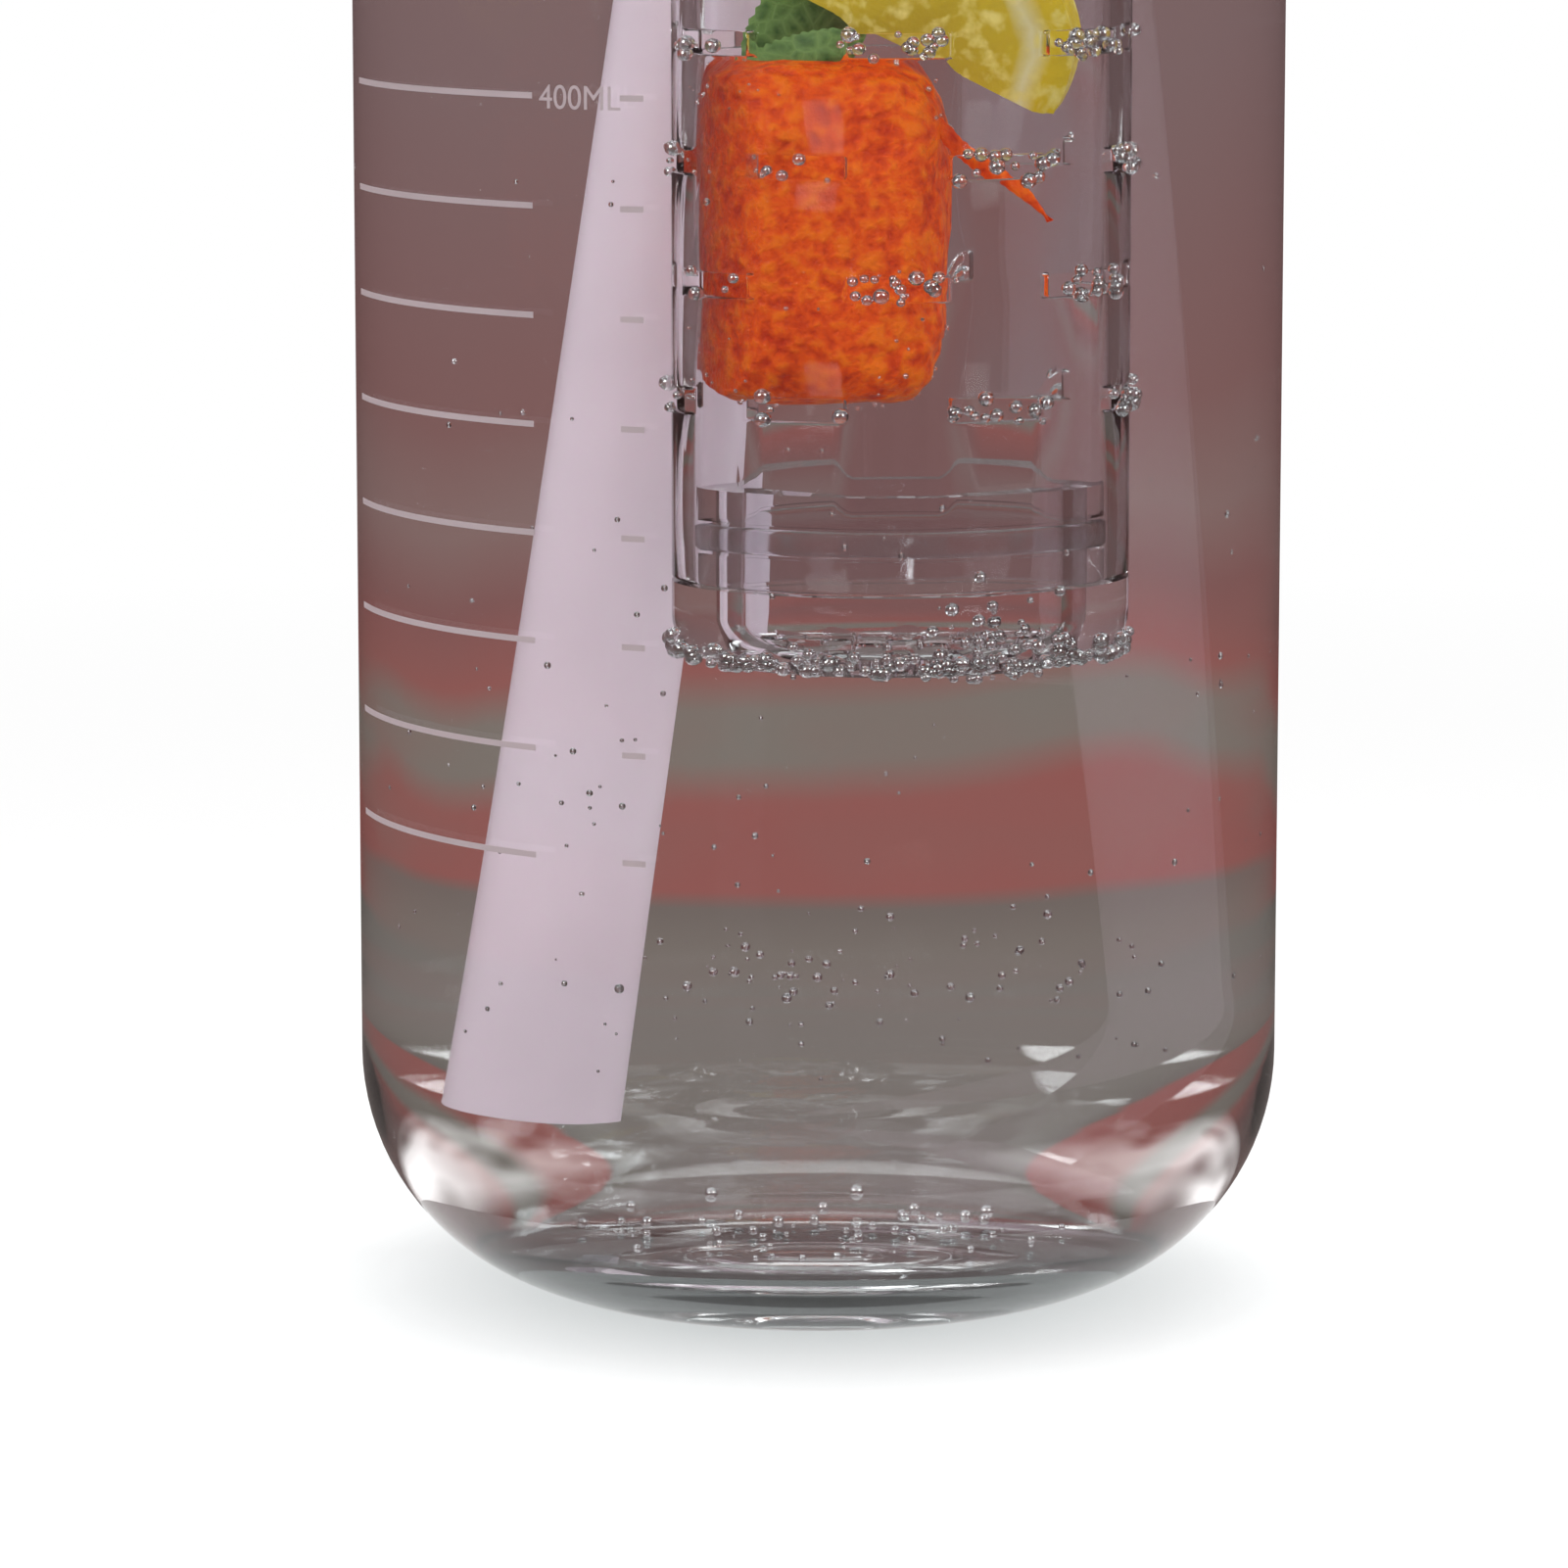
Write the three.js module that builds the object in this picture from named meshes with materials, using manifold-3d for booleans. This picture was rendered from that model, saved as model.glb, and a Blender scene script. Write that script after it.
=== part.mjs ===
import * as THREE from 'three';
import { mergeVertices } from 'three/addons/utils/BufferGeometryUtils.js';
import Module from 'manifold-3d';

// A clear drinking bottle with a straw and a tea infuser that hang from its screw lid.
// Millimetres, +Z up. The origin is the middle of the foot, on the surface it stands on.
// The spout and the button face +Y, the hinge of the cover is at -Y.

// Fits
const SEAT = 0.25;
const RUNNING = 0.3;
const NECK_PASS = 0.9;

// Bottle
const BODY_RADIUS = 40;
const BODY_WALL = 2.4;
const BASE_CORNER = 21;
const FOOT_WIDTH = 6;
const FOOT_RECESS = 2.6;
const FOOT_RING_HEIGHT = 0.8;
const FOOT_RING_HALF_WIDTH = 0.9;
const FOOT_RING_COUNT = 2;
const FLOOR_HEIGHT = 8;
const FLOOR_CORNER = 13;
const FLOOR_CROWN = 0.6;
const STRAIGHT_HEIGHT = 186;
const SHOULDER_RISE = 18;
const NECK_BORE = 29.5;
const NECK_WALL = 2.5;
const NECK_LENGTH = 22;
const RIM_BEVEL = 0.7;

// Lid
const SKIRT_GAP = 0.6;
const SKIRT_WALL = 2.4;
const SKIRT_LENGTH = 19.5;
const GASKET_THICKNESS = 1.8;
const GASKET_INSET = 0.5;
const INSERT_DROP = 0.3;
const INSERT_THICKNESS = 9.7;
const DECK_THICKNESS = 3;
const DECK_BEVEL = 1.5;
const FLUTE_COUNT = 30;
const FLUTE_RADIUS = 1.5;
const FLUTE_DEPTH = 0.7;
const FLUTE_MARGIN = 2.5;

// Push button and its spring
const BUTTON_WIDTH = 14;
const BUTTON_DEPTH = 4.8;
const BUTTON_HEIGHT = 7.1;
const BUTTON_PROUD = 3.6;
const BUTTON_EDGE = 2.5;
const BUTTON_CORNER = 1.8;
const BUTTON_BEVEL = 0.8;
const BUTTON_TRAVEL = 2;
const POCKET_WALL = 1.4;
const SPRING_LENGTH = 6.6;
const SPRING_RADIUS = 1.7;
const SPRING_WIRE = 0.6;
const SPRING_TURNS = 4.5;

// Flip cover and its hinge
const COVER_WALL = 2;
const COVER_HEIGHT = 21.5;
const COVER_DRAFT = 0.5;
const COVER_SHOULDER = 9;
const COVER_CROWN = 1.6;
const CATCH_GAP = 0.7;
const NOSE_LENGTH = 3;
const NOSE_WIDTH = 8;
const NOSE_HEIGHT = 3;
const NOSE_RISE = 0.8;
const HINGE_REACH = 3.5;
const HINGE_RISE = 4;
const HINGE_PIN_RADIUS = 1.4;
const KNUCKLE_WALL = 1.6;
const KNUCKLE_WIDTH = 11.8;
const EAR_WIDTH = 4;

// Spout, its seal and the air valve
const SPOUT_RADIUS = 5;
const SPOUT_BORE = 3.3;
const SPOUT_HEIGHT = 9.4;
const SPOUT_FLANGE = 1.2;
const SPOUT_FLANGE_HEIGHT = 1.5;
const SPOUT_STEM_WALL = 1.3;
const SPOUT_STEM_DEPTH = 3.3;
const SPOUT_FRONT_GAP = 2.78;
const SEAL_THICKNESS = 3.3;
const SEAL_NUB_RADIUS = 2.4;
const SEAL_NUB_LENGTH = 1.3;
const VALVE_RADIUS = 3;
const VALVE_HEIGHT = 1;
const VALVE_STEM = 1.3;
const VALVE_BARB = 2;
const VALVE_BARB_LENGTH = 1.5;
const VALVE_AIRWAY = 1;
const VALVE_TURN = 200;

// Straw
const STRAW_RADIUS = 4.7;
const STRAW_WALL = 1;
const SLEEVE_WALL = 0.35;
const SOCKET_WALL = 0.6;
const SOCKET_LENGTH = 12;
const SOCKET_GAP = 0.85;
const STRAW_SEAT_DEPTH = 9.4;
const STRAW_FOOT_GAP = 5;
const STRAW_FOOT_TURN = 132;

// Infuser
const INFUSER_TURN = -60.3;
const INFUSER_RADIUS = 16;
const INFUSER_WALL = 1.6;
const INFUSER_BOTTOM = 57;
const INFUSER_COLLAR_WALL = 0.65;
const INFUSER_COLLAR_GRIP = 7;
const INFUSER_GASKET_THICKNESS = 1.3;
const SPIGOT_LENGTH = 12;
const SPIGOT_WALL = 2;
const SPIGOT_INSET = 0.75;
const SLOT_LENGTH = 9;
const SLOT_HEIGHT = 2;
const SLOT_PITCH = 10;
const SLOT_COUNT = 6;
const SLOT_MARGIN = 7.25;

// End cap of the infuser
const CAP_HEIGHT = 7;
const CAP_CORNER = 4;
const CAP_FLOOR = 1.8;
const CAP_SPIGOT_LENGTH = 8;
const CAP_WALL = 2;
const CAP_HOLE = 1.2;
const CAP_HOLE_RINGS = 2;
const CAP_HOLE_PITCH = 4.6;
const ORING_HEIGHT = 2.2;
const ORING_DEPTH = 0.9;

// Carry handle
const HANDLE_GAP = 1;
const HANDLE_THICKNESS = 3.7;
const HANDLE_HEIGHT = 9;
const HANDLE_BEVEL = 1;
const HANDLE_DROP = 6.5;
const HANDLE_PIN_RADIUS = 2.1;
const HANDLE_PIN_SEAT = 4;
const HANDLE_PIN_SKIN = 0.3;

// Facets round a circle
const ROUND = 36;
const MEDIUM = 24;
const SMALL = 16;
const TINY = 12;

// Heights and radii that follow from the sizes above
const BORE_RADIUS = BODY_RADIUS - BODY_WALL;
const FOOT_RADIUS = BODY_RADIUS - BASE_CORNER;
const NECK_Z = STRAIGHT_HEIGHT + SHOULDER_RISE;
const RIM_Z = NECK_Z + NECK_LENGTH;
const NECK_RADIUS = NECK_BORE + NECK_WALL;
const SKIRT_BORE = NECK_RADIUS + SKIRT_GAP;
const COLLAR_RADIUS = SKIRT_BORE + SKIRT_WALL;
const GASKET_Z = RIM_Z + SEAT;
const COLLAR_UNDER_Z = GASKET_Z + GASKET_THICKNESS + SEAT;
const INSERT_Z = COLLAR_UNDER_Z - INSERT_DROP;
const INSERT_TOP_Z = INSERT_Z + INSERT_THICKNESS;
const DECK_UNDER_Z = INSERT_TOP_Z + SEAT;
const DECK_Z = DECK_UNDER_Z + DECK_THICKNESS;

const BUTTON_OUTER_Y = COLLAR_RADIUS - BUTTON_EDGE;
const BUTTON_Y = BUTTON_OUTER_Y - BUTTON_DEPTH / 2;
const BUTTON_INNER_Y = BUTTON_OUTER_Y - BUTTON_DEPTH;
const BUTTON_FOOT_Z = DECK_Z + BUTTON_PROUD - BUTTON_HEIGHT;
const POCKET_FLOOR_Z = BUTTON_FOOT_Z - BUTTON_TRAVEL - RUNNING;
const SPRING_SEAT_Z = BUTTON_FOOT_Z - SEAT - SPRING_LENGTH;
const WELL_FLOOR_Z = SPRING_SEAT_Z - SEAT;
const WELL_RADIUS = SPRING_RADIUS + SPRING_WIRE / 2 + 2 * RUNNING;
const CHAMBER_RADIUS = BUTTON_INNER_Y - RUNNING - POCKET_WALL;

const COVER_RADIUS = BUTTON_INNER_Y - CATCH_GAP - NOSE_LENGTH;
const COVER_Z = DECK_Z + RUNNING;
const COVER_TOP_Z = COVER_Z + COVER_HEIGHT;
const SPOUT_Y = COVER_RADIUS - COVER_WALL - SPOUT_RADIUS - SPOUT_FLANGE - SPOUT_FRONT_GAP;
const HINGE_Y = -(COVER_RADIUS + HINGE_REACH);
const HINGE_Z = DECK_Z + HINGE_RISE;
const HINGE_BORE = HINGE_PIN_RADIUS + RUNNING;
const KNUCKLE_RADIUS = HINGE_BORE + KNUCKLE_WALL;

const INFUSER_BORE = INFUSER_RADIUS - INFUSER_WALL;
const INFUSER_COLLAR_RADIUS = INFUSER_RADIUS + SEAT + INFUSER_COLLAR_WALL;
const SPIGOT_RADIUS = INFUSER_BORE - SPIGOT_INSET - RUNNING;
const INFUSER_OFFSET = NECK_BORE - NECK_PASS - INFUSER_COLLAR_RADIUS;
const INFUSER_X = INFUSER_OFFSET * Math.cos(THREE.MathUtils.degToRad(INFUSER_TURN));
const INFUSER_Y = INFUSER_OFFSET * Math.sin(THREE.MathUtils.degToRad(INFUSER_TURN));
const INFUSER_GASKET_Z = INSERT_Z - SEAT - INFUSER_GASKET_THICKNESS;
const INFUSER_COLLAR_TOP_Z = INFUSER_GASKET_Z - SEAT;
const INFUSER_STEP_Z = INFUSER_COLLAR_TOP_Z - INFUSER_COLLAR_GRIP;
const INFUSER_COLLAR_Z = INFUSER_STEP_Z - INFUSER_COLLAR_GRIP;
const TUBE_TOP_Z = INFUSER_STEP_Z - SEAT;
const TUBE_Z = INFUSER_BOTTOM + CAP_HEIGHT + SEAT;
const CAP_SPIGOT_RADIUS = INFUSER_BORE - RUNNING;

const SLEEVE_BORE = STRAW_RADIUS + SEAT;
const SLEEVE_RADIUS = SLEEVE_BORE + SLEEVE_WALL;
const SOCKET_BORE = SLEEVE_RADIUS + SEAT;
const SOCKET_RADIUS = SOCKET_BORE + SOCKET_WALL;
const STRAW_REACH = INFUSER_COLLAR_RADIUS + SOCKET_RADIUS + SOCKET_GAP;
const STRAW_Y = INFUSER_Y + Math.sqrt(STRAW_REACH ** 2 - INFUSER_X ** 2);
const SOCKET_Z = INSERT_Z - SOCKET_LENGTH;
const SOCKET_END_Z = SOCKET_Z + STRAW_SEAT_DEPTH + SEAT;
const STRAW_FOOT_RADIUS = NECK_BORE - NECK_PASS - STRAW_RADIUS;

const HANDLE_BORE = COLLAR_RADIUS + HANDLE_GAP;
const HANDLE_RADIUS = HANDLE_BORE + HANDLE_THICKNESS;
const HANDLE_Z = DECK_Z - HANDLE_DROP;

const wasm = await Module();
wasm.setup();

// Geometry helpers

// Merges shared corners, drops triangles without area and turns the faces outward.
function closed(geometry) {
  geometry.deleteAttribute('normal');
  geometry.deleteAttribute('uv');
  const merged = mergeVertices(geometry, 1e-4);
  const place = merged.getAttribute('position');
  const corner = [0, 1, 2].map(() => new THREE.Vector3());
  const kept = [];
  let volume = 0;
  for (let i = 0; i < merged.index.count; i += 3) {
    const ids = [0, 1, 2].map((k) => merged.index.getX(i + k));
    if (new Set(ids).size < 3) continue;
    ids.forEach((id, k) => corner[k].fromBufferAttribute(place, id));
    volume += corner[0].dot(corner[1].clone().cross(corner[2]));
    kept.push(ids);
  }
  const order = volume < 0 ? [0, 2, 1] : [0, 1, 2];
  merged.setIndex(kept.flatMap((ids) => order.map((k) => ids[k])));
  return merged;
}

function solid(geometry) {
  const shell = closed(geometry);
  return new wasm.Manifold(new wasm.Mesh({
    numProp: 3,
    vertProperties: new Float32Array(shell.getAttribute('position').array),
    triVerts: new Uint32Array(shell.index.array),
  }));
}

function geometryOf(body) {
  const data = body.getMesh();
  const geometry = new THREE.BufferGeometry();
  geometry.setAttribute('position', new THREE.BufferAttribute(data.vertProperties, 3));
  geometry.setIndex(new THREE.BufferAttribute(data.triVerts, 1));
  return geometry;
}

const joined = (bodies) => bodies.reduce((all, body) => all.add(body));

// Revolves [radius, height] points about the Z axis.
function turned(points, segments) {
  const profile = points.map(([radius, height]) => new THREE.Vector2(radius, height));
  return new THREE.LatheGeometry(profile, segments).rotateX(Math.PI / 2);
}

// Revolves a section that does not reach the axis.
const turnedRing = (points, segments) => turned([...points, points[0]], segments);

// An upright rod between two heights.
function rod(radius, lowZ, highZ, segments, x = 0, y = 0) {
  const geometry = new THREE.CylinderGeometry(radius, radius, highZ - lowZ, segments);
  return geometry.rotateX(Math.PI / 2).translate(x, y, (lowZ + highZ) / 2);
}

// A rod along X between two places.
function crossRod(radius, lowX, highX, y, z, segments) {
  const geometry = new THREE.CylinderGeometry(radius, radius, highX - lowX, segments);
  return geometry.rotateZ(Math.PI / 2).translate((lowX + highX) / 2, y, z);
}

function block(low, high) {
  const size = high.map((value, k) => value - low[k]);
  const middle = high.map((value, k) => (value + low[k]) / 2);
  return new THREE.BoxGeometry(...size).translate(...middle);
}

// Points on an arc in the [radius, height] plane, angles in degrees, ends included.
function arc(centreR, centreZ, radius, fromAngle, toAngle, steps) {
  return Array.from({ length: steps + 1 }, (_, i) => {
    const angle = THREE.MathUtils.degToRad(fromAngle + ((toAngle - fromAngle) * i) / steps);
    return [centreR + radius * Math.cos(angle), centreZ + radius * Math.sin(angle)];
  });
}

// Points on a smooth step between two radii, ends included.
function sweep(fromR, fromZ, toR, toZ, steps) {
  const middleZ = (fromZ + toZ) / 2;
  const curve = new THREE.CubicBezierCurve(
    new THREE.Vector2(fromR, fromZ),
    new THREE.Vector2(fromR, middleZ),
    new THREE.Vector2(toR, middleZ),
    new THREE.Vector2(toR, toZ),
  );
  return curve.getPoints(steps).map((point) => [point.x, point.y]);
}

function circlePoints(radius, sides) {
  return Array.from({ length: sides }, (_, i) => {
    const angle = (2 * Math.PI * i) / sides;
    return new THREE.Vector2(radius * Math.cos(angle), radius * Math.sin(angle));
  });
}

// A rectangle with round corners, centred on a place.
function roundedBox(width, depth, corner, x, y) {
  const right = width / 2;
  const top = depth / 2;
  const shape = new THREE.Shape();
  shape.absarc(x + right - corner, y + top - corner, corner, 0, Math.PI / 2);
  shape.absarc(x - right + corner, y + top - corner, corner, Math.PI / 2, Math.PI);
  shape.absarc(x - right + corner, y - top + corner, corner, Math.PI, 1.5 * Math.PI);
  shape.absarc(x + right - corner, y - top + corner, corner, 1.5 * Math.PI, 2 * Math.PI);
  return shape;
}

// Bottle

// Height of the inside floor at a distance from the axis.
function floorAt(radius) {
  const flat = BORE_RADIUS - FLOOR_CORNER;
  if (radius <= flat) return FLOOR_HEIGHT + FLOOR_CROWN * (1 - radius / flat);
  const rise = Math.sqrt(FLOOR_CORNER ** 2 - (radius - flat) ** 2);
  return FLOOR_HEIGHT + FLOOR_CORNER - rise;
}

function bottleBody() {
  const recess = FOOT_RADIUS - FOOT_WIDTH;
  const hollow = (radius) => FOOT_RECESS * (1 - (radius / recess) ** 2);
  const underside = [[0, FOOT_RECESS]];
  for (let i = 1; i <= FOOT_RING_COUNT; i += 1) {
    const radius = (recess * i) / (FOOT_RING_COUNT + 0.75);
    const inner = radius - FOOT_RING_HALF_WIDTH;
    const outer = radius + FOOT_RING_HALF_WIDTH;
    underside.push([inner, hollow(inner)]);
    underside.push([radius, hollow(radius) - FOOT_RING_HEIGHT]);
    underside.push([outer, hollow(outer)]);
  }
  const innerShoulder = STRAIGHT_HEIGHT - BODY_WALL / 2;
  const profile = [
    ...underside,
    [recess, 0],
    ...arc(FOOT_RADIUS, BASE_CORNER, BASE_CORNER, -90, 0, 6),
    ...sweep(BODY_RADIUS, STRAIGHT_HEIGHT, NECK_RADIUS, NECK_Z, 6),
    [NECK_RADIUS, RIM_Z - RIM_BEVEL],
    [NECK_RADIUS - RIM_BEVEL, RIM_Z],
    [NECK_BORE + RIM_BEVEL, RIM_Z],
    [NECK_BORE, RIM_Z - RIM_BEVEL],
    ...sweep(NECK_BORE, NECK_Z - BODY_WALL / 2, BORE_RADIUS, innerShoulder, 5),
    ...arc(BORE_RADIUS - FLOOR_CORNER, FLOOR_HEIGHT + FLOOR_CORNER, FLOOR_CORNER, 0, -90, 5),
    [0, FLOOR_HEIGHT + FLOOR_CROWN],
  ];
  return closed(turned(profile, ROUND));
}

// Lid

function lidGasket() {
  const inner = NECK_BORE - GASKET_INSET;
  const outer = NECK_RADIUS;
  const top = GASKET_Z + GASKET_THICKNESS;
  return closed(turnedRing([[inner, GASKET_Z], [outer, GASKET_Z], [outer, top], [inner, top]], ROUND));
}

function buttonPocket() {
  const outline = roundedBox(
    BUTTON_WIDTH + 2 * RUNNING,
    BUTTON_DEPTH + 2 * RUNNING,
    BUTTON_CORNER + RUNNING,
    0,
    BUTTON_Y,
  );
  const depth = DECK_Z - POCKET_FLOOR_Z + RUNNING;
  const settings = { depth, bevelEnabled: false, curveSegments: 3 };
  const pocket = solid(new THREE.ExtrudeGeometry(outline, settings).translate(0, 0, POCKET_FLOOR_Z));
  const well = solid(rod(WELL_RADIUS, WELL_FLOOR_Z, POCKET_FLOOR_Z + RUNNING, TINY, 0, BUTTON_Y));
  return pocket.add(well);
}

function gripFlutes() {
  const low = RIM_Z - SKIRT_LENGTH + FLUTE_MARGIN;
  const high = RIM_Z - FLUTE_MARGIN;
  const centre = COLLAR_RADIUS + FLUTE_RADIUS - FLUTE_DEPTH;
  const flutes = Array.from({ length: FLUTE_COUNT }, (_, i) => {
    const angle = (2 * Math.PI * i) / FLUTE_COUNT;
    return solid(rod(FLUTE_RADIUS, low, high, 6, centre * Math.cos(angle), centre * Math.sin(angle)));
  });
  return joined(flutes);
}

// One ear of the cover's hinge, standing on the deck.
function hingeEar(side) {
  const inner = KNUCKLE_WIDTH / 2 + RUNNING;
  const outer = inner + EAR_WIDTH;
  const low = side < 0 ? -outer : inner;
  const eye = solid(crossRod(KNUCKLE_RADIUS, low, low + EAR_WIDTH, HINGE_Y, HINGE_Z, SMALL));
  const foot = solid(block(
    [low, HINGE_Y - KNUCKLE_RADIUS, DECK_Z - DECK_THICKNESS / 2],
    [low + EAR_WIDTH, HINGE_Y + KNUCKLE_RADIUS, HINGE_Z],
  ));
  return eye.add(foot);
}

const [VALVE_X, VALVE_Y] = [Math.cos, Math.sin].map((wave) => (
  (COVER_RADIUS - COVER_WALL) / 2 * wave(THREE.MathUtils.degToRad(VALVE_TURN))
));

function lidCollar() {
  const skirtZ = RIM_Z - SKIRT_LENGTH;
  const bevel = DECK_BEVEL / 2;
  const shell = solid(turned([
    [0, DECK_UNDER_Z],
    [CHAMBER_RADIUS, DECK_UNDER_Z],
    [CHAMBER_RADIUS, COLLAR_UNDER_Z],
    [SKIRT_BORE, COLLAR_UNDER_Z],
    [SKIRT_BORE, skirtZ],
    [COLLAR_RADIUS - bevel, skirtZ],
    [COLLAR_RADIUS, skirtZ + bevel],
    ...arc(COLLAR_RADIUS - DECK_BEVEL, DECK_Z - DECK_BEVEL, DECK_BEVEL, 0, 90, 3),
    [0, DECK_Z],
  ], ROUND));
  const stemHole = SPOUT_BORE + SPOUT_STEM_WALL + RUNNING;
  const holes = joined([
    solid(rod(stemHole, DECK_UNDER_Z - SEAT, DECK_Z + SEAT, SMALL, 0, SPOUT_Y)),
    solid(rod(VALVE_STEM + RUNNING, DECK_UNDER_Z - SEAT, DECK_Z + SEAT, TINY, VALVE_X, VALVE_Y)),
    ...[-1, 1].map((side) => {
      const ends = [COLLAR_RADIUS - HANDLE_PIN_SEAT - SEAT, COLLAR_RADIUS + HANDLE_GAP];
      const [low, high] = ends.map((x) => side * x).sort((a, b) => a - b);
      return solid(crossRod(HANDLE_PIN_RADIUS + SEAT, low, high, 0, HANDLE_Z, TINY));
    }),
  ]);
  const earEnd = KNUCKLE_WIDTH / 2 + RUNNING + EAR_WIDTH + RUNNING;
  const hingeBore = solid(crossRod(HINGE_BORE, -earEnd, earEnd, HINGE_Y, HINGE_Z, TINY));
  return closed(geometryOf(
    shell
      .add(hingeEar(-1))
      .add(hingeEar(1))
      .subtract(hingeBore)
      .subtract(holes)
      .subtract(buttonPocket())
      .subtract(gripFlutes()),
  ));
}

function lidInsert() {
  const radius = CHAMBER_RADIUS - SEAT;
  const lap = INSERT_THICKNESS / 4;
  const spigotZ = INSERT_Z - SPIGOT_LENGTH;
  const plate = joined([
    solid(rod(radius, INSERT_Z, INSERT_TOP_Z, ROUND)),
    solid(rod(SPIGOT_RADIUS, spigotZ, INSERT_Z + lap, MEDIUM, INFUSER_X, INFUSER_Y)),
    solid(rod(SOCKET_RADIUS, SOCKET_Z, INSERT_Z + lap, SMALL, 0, STRAW_Y)),
  ]);
  const stemHole = SPOUT_BORE + SPOUT_STEM_WALL + RUNNING;
  const stemFloor = INSERT_TOP_Z - SPOUT_STEM_DEPTH - SEAT;
  const barbFloor = INSERT_TOP_Z - VALVE_BARB_LENGTH - SEAT;
  const valve = [VALVE_X, VALVE_Y];
  return closed(geometryOf(plate.subtract(joined([
    solid(rod(SPIGOT_RADIUS - SPIGOT_WALL, spigotZ - SEAT, INSERT_Z, MEDIUM, INFUSER_X, INFUSER_Y)),
    solid(rod(SOCKET_BORE, SOCKET_Z - SEAT, SOCKET_END_Z, SMALL, 0, STRAW_Y)),
    solid(rod(SPOUT_BORE, SOCKET_Z, INSERT_TOP_Z + SEAT, SMALL, 0, STRAW_Y)),
    solid(rod(stemHole, stemFloor, INSERT_TOP_Z + SEAT, SMALL, 0, SPOUT_Y)),
    solid(rod(VALVE_BARB + RUNNING, barbFloor, INSERT_TOP_Z + SEAT, TINY, ...valve)),
    solid(rod(VALVE_AIRWAY, INSERT_Z - SEAT, INSERT_TOP_Z, TINY, ...valve)),
  ]))));
}

// Spout and air valve

function drinkingSpout() {
  const seat = DECK_Z + SEAT;
  const top = seat + SPOUT_HEIGHT;
  const stem = SPOUT_BORE + SPOUT_STEM_WALL;
  const flange = SPOUT_RADIUS + SPOUT_FLANGE;
  const lip = (SPOUT_RADIUS - SPOUT_BORE) / 2;
  const geometry = turnedRing([
    [SPOUT_BORE, INSERT_TOP_Z - SPOUT_STEM_DEPTH],
    [stem, INSERT_TOP_Z - SPOUT_STEM_DEPTH],
    [stem, seat],
    [flange, seat],
    [flange, seat + SPOUT_FLANGE_HEIGHT],
    [SPOUT_RADIUS - lip / 2, seat + 2 * SPOUT_FLANGE_HEIGHT],
    [SPOUT_RADIUS, top - 2 * lip],
    ...arc(SPOUT_BORE + lip, top - lip, lip, 0, 180, 4),
  ], SMALL);
  return closed(geometry.translate(0, SPOUT_Y, 0));
}

function ventValve() {
  const seat = DECK_Z + SEAT;
  const barbTop = INSERT_TOP_Z - SEAT;
  const geometry = turned([
    [0, INSERT_TOP_Z - VALVE_BARB_LENGTH],
    [VALVE_STEM, INSERT_TOP_Z - VALVE_BARB_LENGTH],
    [VALVE_BARB, barbTop],
    [VALVE_STEM, barbTop],
    [VALVE_STEM, seat],
    [VALVE_RADIUS, seat],
    [VALVE_RADIUS * 0.8, seat + VALVE_HEIGHT * 0.7],
    [0, seat + VALVE_HEIGHT],
  ], TINY);
  return closed(geometry.translate(VALVE_X, VALVE_Y, 0));
}

// Straw

function strawSleeve() {
  const low = SOCKET_Z - SEAT;
  const high = SOCKET_END_Z - SEAT;
  const geometry = turnedRing([
    [SLEEVE_BORE, low],
    [SLEEVE_RADIUS, low],
    [SLEEVE_RADIUS, high],
    [SLEEVE_BORE, high],
  ], SMALL);
  return closed(geometry.translate(0, STRAW_Y, 0));
}

// The straw hangs straight out of its socket, then leans towards the wall of the bottle.
function strawPath() {
  const turn = THREE.MathUtils.degToRad(STRAW_FOOT_TURN);
  const footX = STRAW_FOOT_RADIUS * Math.cos(turn);
  const footY = STRAW_FOOT_RADIUS * Math.sin(turn);
  const footZ = floorAt(STRAW_FOOT_RADIUS + STRAW_RADIUS) + STRAW_FOOT_GAP;
  const topZ = SOCKET_Z + STRAW_SEAT_DEPTH - SEAT;
  const bendZ = SOCKET_Z - STRAW_RADIUS;
  const between = (share) => new THREE.Vector3(
    footX * share,
    STRAW_Y + (footY - STRAW_Y) * share,
    bendZ + (footZ - bendZ) * share,
  );
  const bend = new THREE.Vector3(0, STRAW_Y, bendZ);
  const path = new THREE.CurvePath();
  path.add(new THREE.LineCurve3(new THREE.Vector3(0, STRAW_Y, topZ), bend));
  path.add(new THREE.CubicBezierCurve3(
    bend,
    new THREE.Vector3(0, STRAW_Y, bendZ + (footZ - bendZ) / 5),
    between(0.5),
    new THREE.Vector3(footX, footY, footZ),
  ));
  return path;
}

function straw() {
  const ring = new THREE.Shape(circlePoints(STRAW_RADIUS, TINY));
  ring.holes.push(new THREE.Path(circlePoints(STRAW_RADIUS - STRAW_WALL, TINY)));
  return closed(new THREE.ExtrudeGeometry(ring, { steps: 13, extrudePath: strawPath() }));
}

// Flip cover

// The cover's outline, set in from the outside by a wall.
function coverProfile(inset) {
  const base = COVER_RADIUS - inset;
  const top = COVER_TOP_Z - inset;
  const shoulder = COVER_SHOULDER - inset / 2;
  const side = base - COVER_DRAFT;
  const crownZ = top - COVER_CROWN;
  return [
    [0, COVER_Z],
    [base, COVER_Z],
    ...arc(side - shoulder, crownZ - shoulder, shoulder, 0, 80, 5),
    [0, top],
  ];
}

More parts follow.
